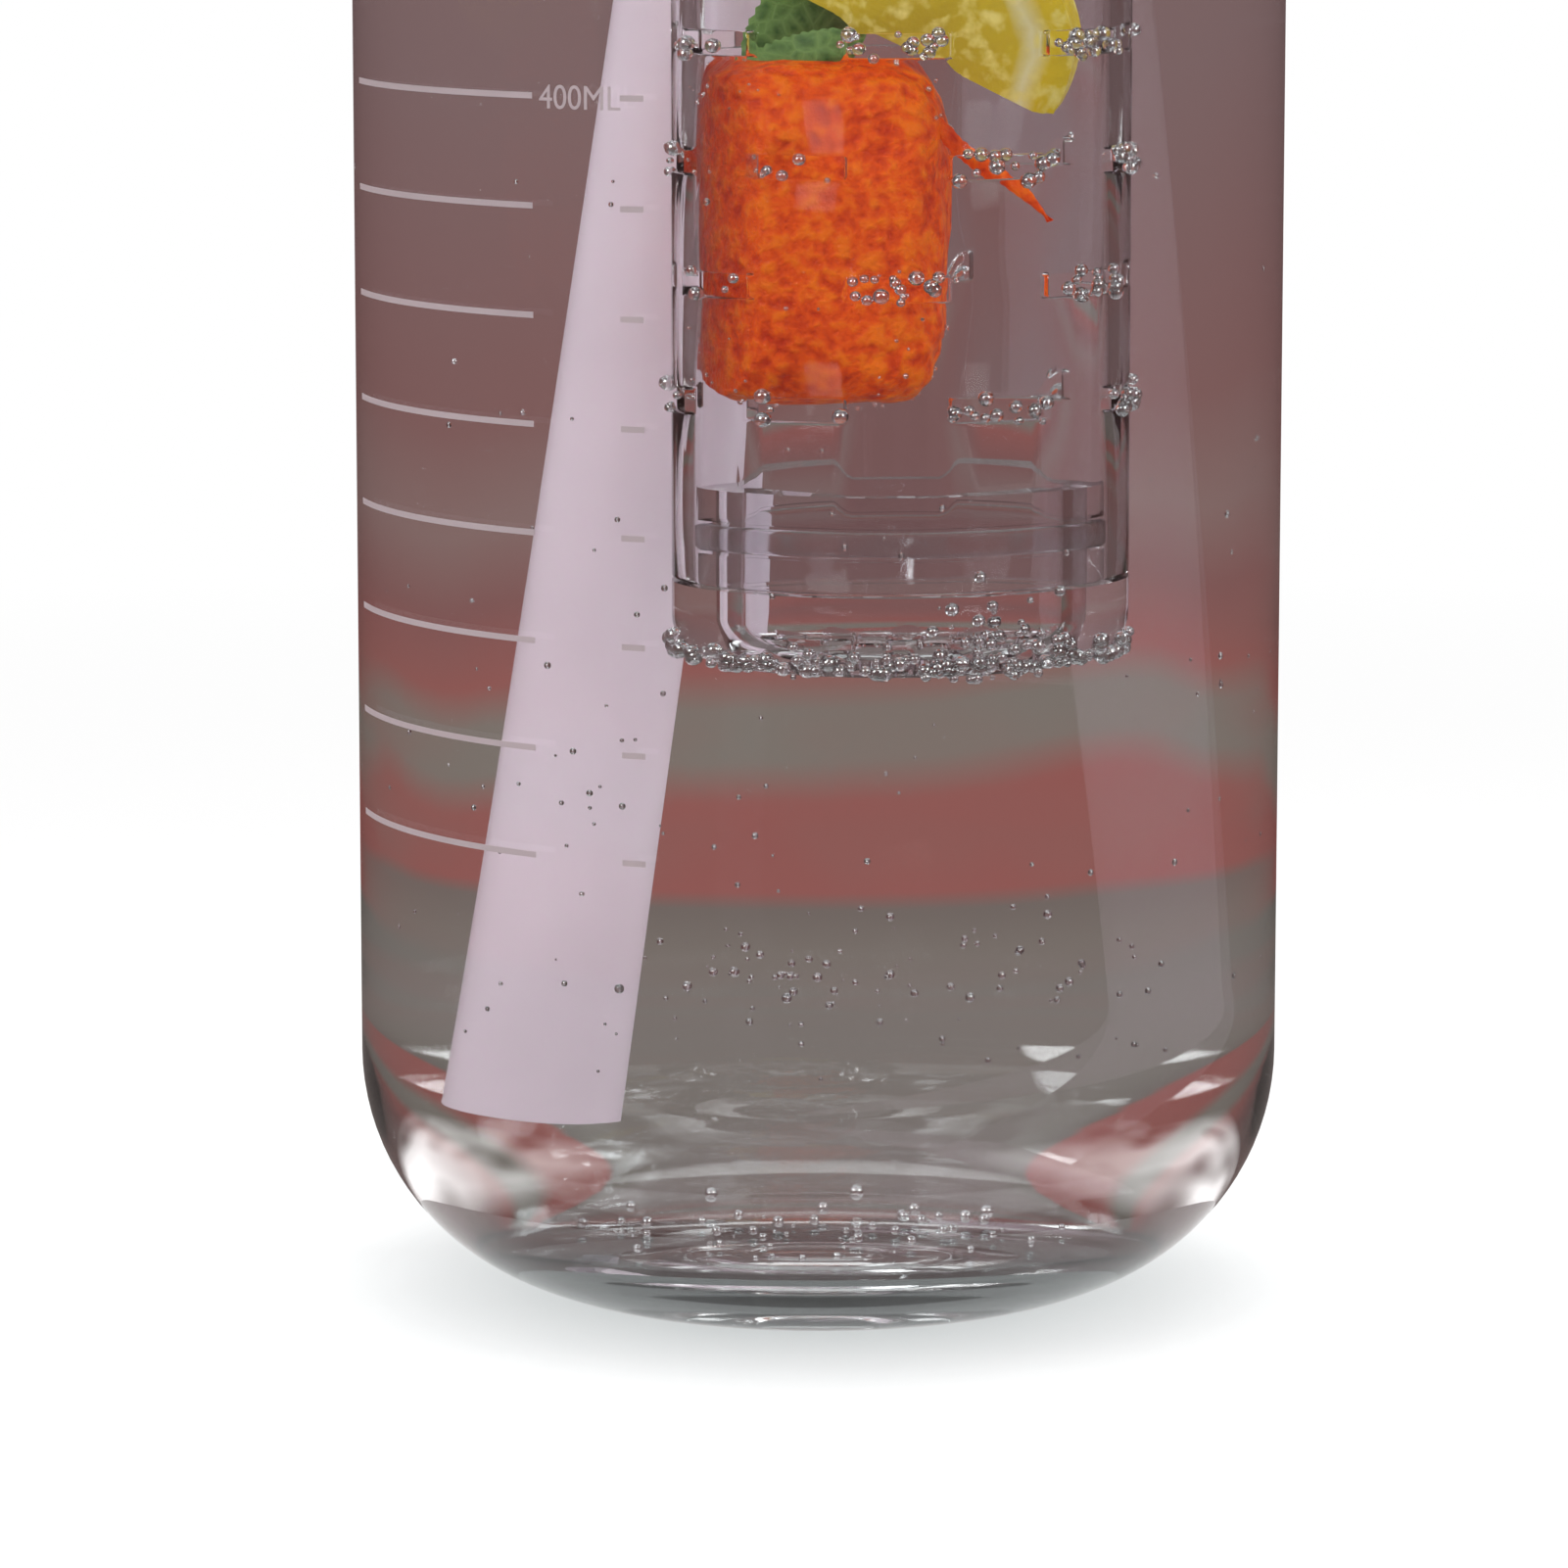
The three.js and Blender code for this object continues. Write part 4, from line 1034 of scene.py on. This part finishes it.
def flute(radius, height, angle):
    """Takes the grip flutes out of the collar's side."""
    if radius < COLLAR_RADIUS - 0.01 * MM or not FLUTE_LOW < height < FLUTE_HIGH:
        return radius
    pitch = TAU / FLUTE_COUNT
    off = ((angle + pitch / 2) % pitch - pitch / 2) * COLLAR_RADIUS
    if abs(off) >= FLUTE_RADIUS:
        return radius
    depth = math.sqrt(FLUTE_RADIUS ** 2 - off ** 2) - FLUTE_RADIUS + FLUTE_DEPTH
    run_out = min(1.0, min(height - FLUTE_LOW, FLUTE_HIGH - height) / MM)
    return radius - max(0.0, depth) * run_out


def button_pocket():
    floor_z = BUTTON_LOW.z - BUTTON_TRAVEL - PLAY
    low = (BUTTON_LOW.x - PLAY, BUTTON_LOW.y - PLAY, floor_z)
    high = (BUTTON_HIGH.x + PLAY, BUTTON_HIGH.y + PLAY, DECK_Z + PLAY)
    pocket = rounded_block("pocket", low, high, 2.1 * MM, 0)
    well_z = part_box("button_spring")[0].z - FIT
    return join(pocket, upright(2.6 * MM, well_z, floor_z + PLAY, 0, BUTTON_Y))


def hinge_ear(side):
    inner = KNUCKLE_HALF + PLAY
    low, high = sorted((side * inner, side * (inner + EAR_WIDTH)))
    foot = block(
        (low, HINGE_Y - KNUCKLE_RADIUS, DECK_Z - 1.5 * MM),
        (high, HINGE_Y + KNUCKLE_RADIUS, HINGE_Z),
    )
    return join(foot, crosswise(KNUCKLE_RADIUS, low, high, HINGE_Y, HINGE_Z))


def handle_pin_hole(side):
    ends = sorted((side * (HANDLE_PIN_LOW.x - FIT), side * (COLLAR_RADIUS + MM)))
    return crosswise(HANDLE_PIN_RADIUS + FIT, *ends, 0, HANDLE_Z)


def make_collar():
    low = COLLAR_LOW.z
    run_outs = [0.0, 0.3 * MM, 0.6 * MM, 1.0 * MM]
    flute_heights = [FLUTE_LOW + s for s in run_outs] + [FLUTE_HIGH - s for s in reversed(run_outs)]
    profile = [
        (0, DECK_UNDER_Z), (CHAMBER_RADIUS, DECK_UNDER_Z),
        (CHAMBER_RADIUS, COLLAR_UNDER_Z), (SKIRT_BORE, COLLAR_UNDER_Z),
        (SKIRT_BORE, low + 0.4 * MM), (SKIRT_BORE + 0.4 * MM, low),
        *arc(COLLAR_RADIUS - SKIRT_BEVEL, low + SKIRT_BEVEL, SKIRT_BEVEL, -90, 0, 5),
        *[(COLLAR_RADIUS, z) for z in flute_heights],
        *arc(COLLAR_RADIUS - DECK_BEVEL, DECK_Z - DECK_BEVEL, DECK_BEVEL, 0, 90, 8),
        (0, DECK_Z),
    ]
    collar = skin("lid_collar_shell", revolve(profile, 480, shape=flute))
    join(collar, hinge_ear(-1), hinge_ear(1))
    reach = KNUCKLE_HALF + EAR_WIDTH + 1 * MM
    cut(
        collar,
        crosswise(HINGE_BORE, -reach, reach, HINGE_Y, HINGE_Z),
        button_pocket(),
        upright(SPOUT_HOLE, DECK_UNDER_Z - MM, DECK_Z + MM, 0, SPOUT_Y),
        upright(1.6 * MM, DECK_UNDER_Z - MM, DECK_Z + MM, VALVE_X, VALVE_Y),
        handle_pin_hole(-1),
        handle_pin_hole(1),
    )
    shade(collar, 35)
    put(collar, "lid", LILAC_LID, ["lid_collar"])


def make_insert():
    low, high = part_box("lid_insert")
    plate_z = COLLAR_UNDER_Z - 0.3 * MM
    lap_z = plate_z + 2.4 * MM
    over_z = high.z + MM
    spigot = INFUSER_BORE - 1.05 * MM
    socket = SLEEVE_HIGH.x + 0.85 * MM
    edge = 0.5 * MM
    plate = lathe("lid_insert_plate", [
        (0, plate_z),
        *arc(high.x - edge, plate_z + edge, edge, -90, 0, 4),
        *arc(high.x - edge, high.z - edge, edge, 0, 90, 4),
        (0, high.z),
    ], 128)
    join(
        plate,
        upright(spigot, low.z, lap_z, *INFUSER_AXIS, 96),
        upright(socket, low.z, lap_z, 0, STRAW_Y),
    )
    cut(
        plate,
        upright(spigot - 2 * MM, low.z - MM, plate_z, *INFUSER_AXIS, 96),
        upright(socket - 0.6 * MM, low.z - MM, SLEEVE_HIGH.z + FIT, 0, STRAW_Y),
        upright(3.3 * MM, low.z, over_z, 0, STRAW_Y),
        upright(SPOUT_HOLE, SPOUT_LOW.z - FIT, over_z, 0, SPOUT_Y),
        upright(2.3 * MM, VALVE_LOW.z - FIT, over_z, VALVE_X, VALVE_Y),
        upright(MM, plate_z - MM, high.z, VALVE_X, VALVE_Y),
    )
    shade(plate, 35)
    put(plate, "lid", LILAC_TRIM, ["lid_insert"])


def cover_profile(inset, drop):
    """The cover's dome, set in from the outside by a wall, from its middle down to its open edge."""
    base = COVER_HIGH.x - inset
    top = COVER_HIGH.z - inset
    shoulder = 9 * MM - inset / 2
    side = arc(base - 0.5 * MM - shoulder, top - 1.6 * MM - shoulder, shoulder, 80, 0, 16)
    edge_r, edge_z = side[0]
    knee_r = edge_r - (top - edge_z) / math.tan(math.radians(10))
    crown = bezier([(0, top), (knee_r, top), side[0]], 12)[:-1]
    return [(r, z - drop) for r, z in (*crown, *side, (base, COVER_LOW.z))]


def make_cover():
    half = KNUCKLE_HALF
    cover = lathe("flip_cover_dome", [*cover_profile(0, 0), (0, COVER_LOW.z)], 160)
    inside = lathe("inside", [*cover_profile(2 * MM, FIT), (0, COVER_LOW.z - FIT)], 160)
    knuckle = crosswise(KNUCKLE_RADIUS, -half, half, HINGE_Y, HINGE_Z)
    arm = block(
        (-half, HINGE_Y, HINGE_Z - KNUCKLE_RADIUS / 2),
        (half, HINGE_Y + 9.5 * MM, HINGE_Z + KNUCKLE_RADIUS),
    )
    nose_z = COVER_LOW.z + 0.8 * MM
    nose = block((-4 * MM, 19.2 * MM, nose_z), (4 * MM, COVER_HIGH.y, nose_z + 3 * MM), 0.5 * MM)
    join(cover, knuckle, arm, nose)
    cut(cover, inside)
    seal_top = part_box("cover_seal")[1].z
    join(cover, upright(5 * MM, seal_top + FIT, COVER_HIGH.z - 2.5 * MM, 0, SPOUT_Y))
    cut(cover, crosswise(HINGE_BORE, -half - MM, half + MM, HINGE_Y, HINGE_Z))
    shade(cover, 35)
    put(cover, "cover", LILAC_LID, ["flip_cover"])


def turned(name, node, body, material, profile, segments, closed=False, smooth_angle=40):
    """A lathed piece about the middle of the node that it stands for."""
    piece = lathe(name, profile, segments, middle(node)[:2], closed, smooth_angle=smooth_angle)
    put(piece, body, material, [node])


def make_ring(node, body, wall, edge, material):
    """A smooth ring in the place of a node that is a plain ring."""
    low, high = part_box(node)
    outer = half_size(node)[0]
    inner = outer - wall
    profile = [
        *arc(outer - edge, low.z + edge, edge, -90, 0, 4),
        *arc(outer - edge, high.z - edge, edge, 0, 90, 4),
        *arc(inner + edge, high.z - edge, edge, 90, 180, 4),
        *arc(inner + edge, low.z + edge, edge, 180, 270, 4),
    ]
    turned(node + "_soft", node, body, material, profile, 128, True, 50)


def make_spout():
    bore, radius, stem, flange = 3.3 * MM, 5 * MM, 4.6 * MM, 6.2 * MM
    low, top = SPOUT_LOW.z, SPOUT_HIGH.z
    seat = DECK_Z + FIT
    brim = seat + 1.5 * MM
    lip = (radius - bore) / 2
    soft = 0.4 * MM
    profile = [
        (bore, low), (stem, low), (stem, seat),
        *arc(flange - soft, seat + soft, soft, -90, 0, 4),
        *arc(flange - soft, brim - soft, soft, 0, 90, 4),
        (radius, brim + 0.1 * MM),
        (radius - 0.35 * MM, brim + 0.7 * MM),
        (radius - 0.45 * MM, brim + 2.0 * MM),
        (radius - 0.3 * MM, top - 3.5 * MM),
        *arc(bore + lip, top - lip, lip, 0, 180, 12),
    ]
    turned("drinking_spout_soft", "drinking_spout", "lid", SILICONE, profile, 96, closed=True)


def make_valve():
    low, top = VALVE_LOW.z, VALVE_HIGH.z
    stem, barb, radius = 1.3 * MM, 2 * MM, 3 * MM
    seat = DECK_Z + FIT
    barb_top = low + 1.25 * MM
    edge_z = seat + 0.3 * MM
    turns = [math.pi / 2 * i / 10 for i in range(10)]
    profile = [
        (0, low), (stem, low), (barb, barb_top), (stem, barb_top), (stem, seat), (radius, seat),
        *[(radius * math.cos(turn), edge_z + (top - edge_z) * math.sin(turn)) for turn in turns],
        (0, top),
    ]
    turned("vent_valve_soft", "vent_valve", "lid", SILICONE, profile, 64)


def make_cover_seal():
    low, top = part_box("cover_seal")
    nub, rim, soft = 2.4 * MM, top.x, 0.5 * MM
    face = low.z + 1.3 * MM
    profile = [
        (0, low.z),
        *arc(nub * 0.8 - soft, low.z + soft, soft, -90, 0, 5),
        (nub, face),
        *arc(rim - soft, face + soft, soft, -90, 0, 5),
        *arc(rim - soft, top.z - soft, soft, 0, 90, 5),
        (0, top.z),
    ]
    turned("cover_seal_soft", "cover_seal", "cover", SILICONE, profile, 64)


def make_pin(node):
    """A steel pin along X with chamfered ends."""
    half, _, radius = half_size(node)
    chamfer = 0.3 * MM
    profile = [
        (0, -half), (radius - chamfer, -half), (radius, chamfer - half),
        (radius, half - chamfer), (radius - chamfer, half), (0, half),
    ]
    place = Matrix.Translation(middle(node)) @ Matrix.Rotation(math.pi / 2, 4, "Y")
    rings = [[place @ point for point in ring] for ring in revolve(profile, 48)]
    put(skin(node + "_steel", rings, smooth_angle=30), "lid", STEEL, [node])


def make_button():
    button = rounded_block("push_button_cap", BUTTON_LOW, BUTTON_HIGH, 1.8 * MM, 0.8 * MM)
    put(button, "button", LILAC_TRIM, ["push_button"])


def make_spring():
    """The button's coil spring, with a mesh of its own."""
    low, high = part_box("button_spring")
    wire, radius, turns, sides = 0.3 * MM, 1.7 * MM, 4.5, 12

    def section(t):
        z = low.z + wire + (high.z - low.z - 2 * wire) * t
        angles = [TAU * k / sides for k in range(sides)]
        return [(radius + wire * math.cos(angle), z + wire * math.sin(angle)) for angle in angles]

    spring = coil("button_spring_coil", turns, int(turns * 40), section, (0, BUTTON_Y))
    put(spring, "lid", STEEL, ["button_spring"])
    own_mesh(spring)


def rounded_section(half_width, half_height, bend):
    """A rounded rectangle about (0, 0), once round."""
    points = []
    for side_x, side_z, start in ((1, 1, 0), (-1, 1, 90), (-1, -1, 180), (1, -1, 270)):
        centre_x = side_x * (half_width - bend)
        centre_z = side_z * (half_height - bend)
        points += arc(centre_x, centre_z, bend, start, start + 90, 5)
    return points


def make_handle():
    """A bail round the back of the lid, of one rounded section, with round eyes on the pins."""
    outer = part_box("carry_handle")[1].x
    reach = half_size("carry_handle")[2]
    thick, edge, steps = 3.7 * MM, 1.0 * MM, 96
    bow = outer - thick / 2
    eye = arc(0, 0, reach, 2, 90, 12)
    path = [(Vector((bow, y, HANDLE_Z)), Vector((1, 0, 0)), half) for y, half in eye]
    for i in range(1, steps):
        turn = -math.pi * i / steps
        path.append((polar(bow, turn, HANDLE_Z), polar(1, turn, 0), reach))
    path += [(Vector((-bow, y, HANDLE_Z)), Vector((-1, 0, 0)), half) for y, half in reversed(eye)]
    rings = []
    for place, out, half in path:
        section = rounded_section(thick / 2, half, min(edge, 0.9 * half))
        rings.append([place + out * a + Vector((0, 0, b)) for a, b in section])
    handle = skin("carry_handle_bail", rings, capped=True, smooth_angle=40)
    wide = outer + MM
    cut(handle, crosswise(HANDLE_PIN_RADIUS + PLAY, -wide, wide, 0, HANDLE_Z))
    shade(handle, 40)
    put(handle, "handle", LILAC_TRIM, ["carry_handle"])


def make_infuser_collar():
    low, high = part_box("infuser_collar")
    outer = half_size("infuser_collar")[0]
    grip = INFUSER_RADIUS + FIT
    bore = INFUSER_BORE - 0.75 * MM
    step = high.z - 7 * MM
    soft = 0.25 * MM
    profile = [
        (grip, low.z),
        *arc(outer - soft, low.z + soft, soft, -90, 0, 3),
        *arc(outer - soft, high.z - soft, soft, 0, 90, 3),
        (bore, high.z), (bore, step), (grip, step),
    ]
    name, node = "infuser_collar_ring", "infuser_collar"
    turned(name, node, "infuser", LILAC_TRIM, profile, 96, closed=True)


make_bottle()
make_thread()
make_water()
make_scale()
make_tube()
make_end_cap()
make_straw()
make_fruit()
make_infuser_bubbles()
make_bottle_bubbles()
make_collar()
make_insert()
make_cover()
make_cover_seal()
make_spout()
make_valve()
make_button()
make_spring()
make_handle()
make_infuser_collar()
make_ring("lid_gasket", "lid_seal", 3 * MM, 0.4 * MM, SILICONE)
make_ring("infuser_gasket", "infuser_seal", 2.35 * MM, 0.35 * MM, SILICONE)
make_ring("straw_sleeve", "lid", 0.35 * MM, 0.12 * MM, SILICONE)
make_ring("end_cap_oring", "end_cap", 0.9 * MM, 0.4 * MM, CLEAR_SEAL)
for pin in ("cover_hinge_pin", "handle_pin_left", "handle_pin_right"):
    make_pin(pin)


# Studio

BLACK = (0.0, 0.0, 0.0)
WHITE = (1.0, 1.0, 1.0)
FLOOR_SIZE = 6.0
FLOOR_FAR = 0.5
FLOOR_PALE = (0.6, 0.6, 0.6)
FLOOR_GLOW = (0.5, 0.5, 0.5)
ROOM_LIGHT = 0.35
TENT_RADIUS = 220 * MM
TENT_HEIGHT = 340 * MM
MAT_BORE = 42 * MM
MAT_Z = 0.5 * MM

# Card tones from the foot of the tent outwards and up its wall
CARD_DRIFT = 36 * MM
CARD_REACH = 100 * MM
ROSE = (0.33, 0.11, 0.1)
WARM_GREY = (0.23, 0.2, 0.175)
CARD_TONES = [
    (0.0, (0.25, 0.21, 0.2)),
    (0.3, (0.21, 0.185, 0.165)),
    (0.43, (0.18, 0.155, 0.14)),
    (0.485, ROSE),
    (0.55, ROSE),
    (0.575, WARM_GREY),
    (0.605, WARM_GREY),
    (0.63, ROSE),
    (0.68, (0.25, 0.115, 0.11)),
    (0.73, (0.27, 0.17, 0.16)),
    (0.8, (0.25, 0.125, 0.12)),
    (1.0, (0.24, 0.15, 0.15)),
]
# Painted light: the card glows this bright after a bounce off a solid piece, to light the pieces inside the
# bottle.
BOUNCE_GLOW = (1.3, 1.3, 1.3)
MIRRORED_DIM = 0.35

# Pale patches beside the foot, which reflections alone meet: ranges over which they come in
PATCH_GLOW = (6.0, 6.0, 6.0)
PATCH_ASIDE = (36 * MM, 46 * MM)
PATCH_OUT = (90 * MM, 65 * MM)
PATCH_BACK = (20 * MM, 2 * MM)
PATCH_STREAKS = (0.3, 0.55)

# Bright windows high on the tent, for sparkle: shares of a turn
WINDOW_GLOW = (16.0, 16.0, 16.0)
WINDOW_LOW = (150 * MM, 160 * MM)
WINDOW_STOPS = [
    (0.075, BLACK), (0.08, WHITE), (0.15, WHITE), (0.155, BLACK),
    (0.355, BLACK), (0.36, WHITE), (0.4, WHITE), (0.405, BLACK),
]

# Each lamp's place, width and height in metres, and power in watts
LAMPS = {
    "key_left": ((-0.62, -0.55, 0.65), (0.4, 0.6), 3.2),
    "fill_right": ((0.7, -0.35, 0.5), (0.4, 0.6), 1.6),
    "strip_left": ((-0.24, 0.09, 0.2), (0.05, 0.4), 0.03),
    "strip_right": ((0.24, 0.09, 0.2), (0.07, 0.4), 0.2),
    "top_soft": ((0.0, 0.1, 1.1), (1.0, 1.0), 4.0),
}
LAMP_AIM = (0, 0, 0.1)


def seen_by_eye(graph):
    """1 for the camera and for what shows in gloss or through clear pieces, else 0."""
    ray = graph.add("ShaderNodeLightPath").outputs
    direct = graph.sums("MAXIMUM", ray["Is Camera Ray"], ray["Is Glossy Ray"])
    return graph.sums("MAXIMUM", direct, ray["Is Transmission Ray"])


def floor_material():
    """Pale floor that keeps the bottle's shadow and runs out to plain white."""
    material, graph = new_material("studio_floor")
    share = graph.share(graph.distance(graph.place()), 0.0, FLOOR_FAR)
    glow = graph.ramp(share, [(0.04, BLACK), (0.09, FLOOR_GLOW), (0.3, FLOOR_GLOW), (1.0, WHITE)])
    graph.shade({
        "Base Color": graph.ramp(share, [(0.3, FLOOR_PALE), (1.0, BLACK)]),
        "Roughness": 1.0,
        "Specular IOR Level": 0.0,
        "Emission Color": WHITE,
        "Emission Strength": graph.product(seen_by_eye(graph), glow),
    })
    return material


def make_floor():
    bm = bmesh.new()
    bmesh.ops.create_circle(bm, cap_ends=True, segments=96, radius=FLOOR_SIZE)
    floor = from_bmesh("studio_floor", bm)
    floor.data.materials.append(floor_material())


def card_material():
    """Soft warm tones in uneven bands.

    Reflections meet darker card, apart from a pale patch at either side of the foot, which lights the
    rounded corners, and the windows. Light that has left a solid piece meets a pale glow, brighter than
    white, which is painted light for the pieces inside the bottle.
    """
    material, graph = new_material("studio_card")
    graph.nodes.remove(graph.shader)
    ray = graph.add("ShaderNodeLightPath").outputs
    place = graph.place()
    axes = graph.add("ShaderNodeSeparateXYZ", {"Vector": place}).outputs
    flat = graph.add("ShaderNodeCombineXYZ", {"X": axes["X"], "Y": axes["Y"]}).outputs["Vector"]
    out = graph.distance(flat)

    rise = graph.sums("ADD", axes["Z"], out)
    level = graph.sums("ADD", rise, graph.product(graph.noise(5, 2), CARD_DRIFT))
    halfway = TENT_RADIUS + CARD_DRIFT / 2
    tone = graph.ramp(graph.share(level, halfway - CARD_REACH, halfway + CARD_REACH), CARD_TONES)
    tone = graph.mix(graph.product(ray["Glossy Depth"], MIRRORED_DIM), tone, BLACK)

    patch = graph.product(
        graph.share(graph.sums("ABSOLUTE", axes["X"]), *PATCH_ASIDE),
        graph.share(out, *PATCH_OUT),
        graph.share(axes["Y"], *PATCH_BACK),
        ray["Is Reflection Ray"],
        graph.share(graph.noise(45, 1), *PATCH_STREAKS),
    )
    tone = graph.mix(patch, tone, PATCH_GLOW)

    turn = graph.add("ShaderNodeTexGradient", {"Vector": place}, gradient_type="RADIAL").outputs["Fac"]
    window = graph.product(
        graph.ramp(turn, WINDOW_STOPS), graph.share(axes["Z"], *WINDOW_LOW), ray["Glossy Depth"]
    )
    tone = graph.mix(window, tone, WINDOW_GLOW)
    tone = graph.mix(ray["Diffuse Depth"], tone, BOUNCE_GLOW)
    graph.surface(graph.add("ShaderNodeEmission", {"Color": tone}).outputs["Emission"])
    return material


def make_tent():
    """Glowing stage card that only gloss and clear pieces show. It shades nothing and lights only pieces
    inside them.
    """
    tent = lathe("studio_tent", [(MAT_BORE, MAT_Z), (TENT_RADIUS, MAT_Z), (TENT_RADIUS, TENT_HEIGHT)], 96)
    tent.data.materials.append(card_material())
    tent.visible_camera = False
    tent.visible_diffuse = False
    tent.visible_shadow = False


def aim_at(obj, place, target):
    obj.location = place
    obj.rotation_euler = (Vector(target) - Vector(place)).to_track_quat("-Z", "Y").to_euler()


def make_light():
    for name, (place, size, power) in LAMPS.items():
        data = bpy.data.lights.new(name, "AREA")
        data.shape = "RECTANGLE"
        data.size, data.size_y = size
        data.energy = power
        lamp = add_object(name, data)
        aim_at(lamp, place, LAMP_AIM)
        lamp.visible_camera = False
    world = bpy.data.worlds.new("studio")
    world.use_nodes = True
    graph = Graph(world.node_tree)
    backdrop = graph.nodes["Background"]
    graph.feed(backdrop.inputs["Color"], WHITE)
    graph.feed(backdrop.inputs["Strength"], graph.spread(seen_by_eye(graph), ROOM_LIGHT, 1.0))
    bpy.context.scene.world = world


def make_camera():
    data = bpy.data.cameras.new("photo_view")
    camera = add_object("photo_view", data)
    place = Vector((AIM_SIDE, -CAMERA_BACK, CAMERA_HEIGHT))
    target = Vector((AIM_SIDE, 0, AIM_HEIGHT))
    aim_at(camera, place, target)
    data.sensor_width = SENSOR
    data.lens = SENSOR * (target - place).length / PHOTO_FRAME
    data.clip_start = 0.01
    data.clip_end = 20
    bpy.context.scene.camera = camera


make_floor()
make_tent()
make_light()
make_camera()

scene = bpy.context.scene
scene.view_settings.view_transform = "Standard"
scene.cycles.max_bounces = 24
scene.cycles.transmission_bounces = 24
scene.cycles.transparent_max_bounces = 24
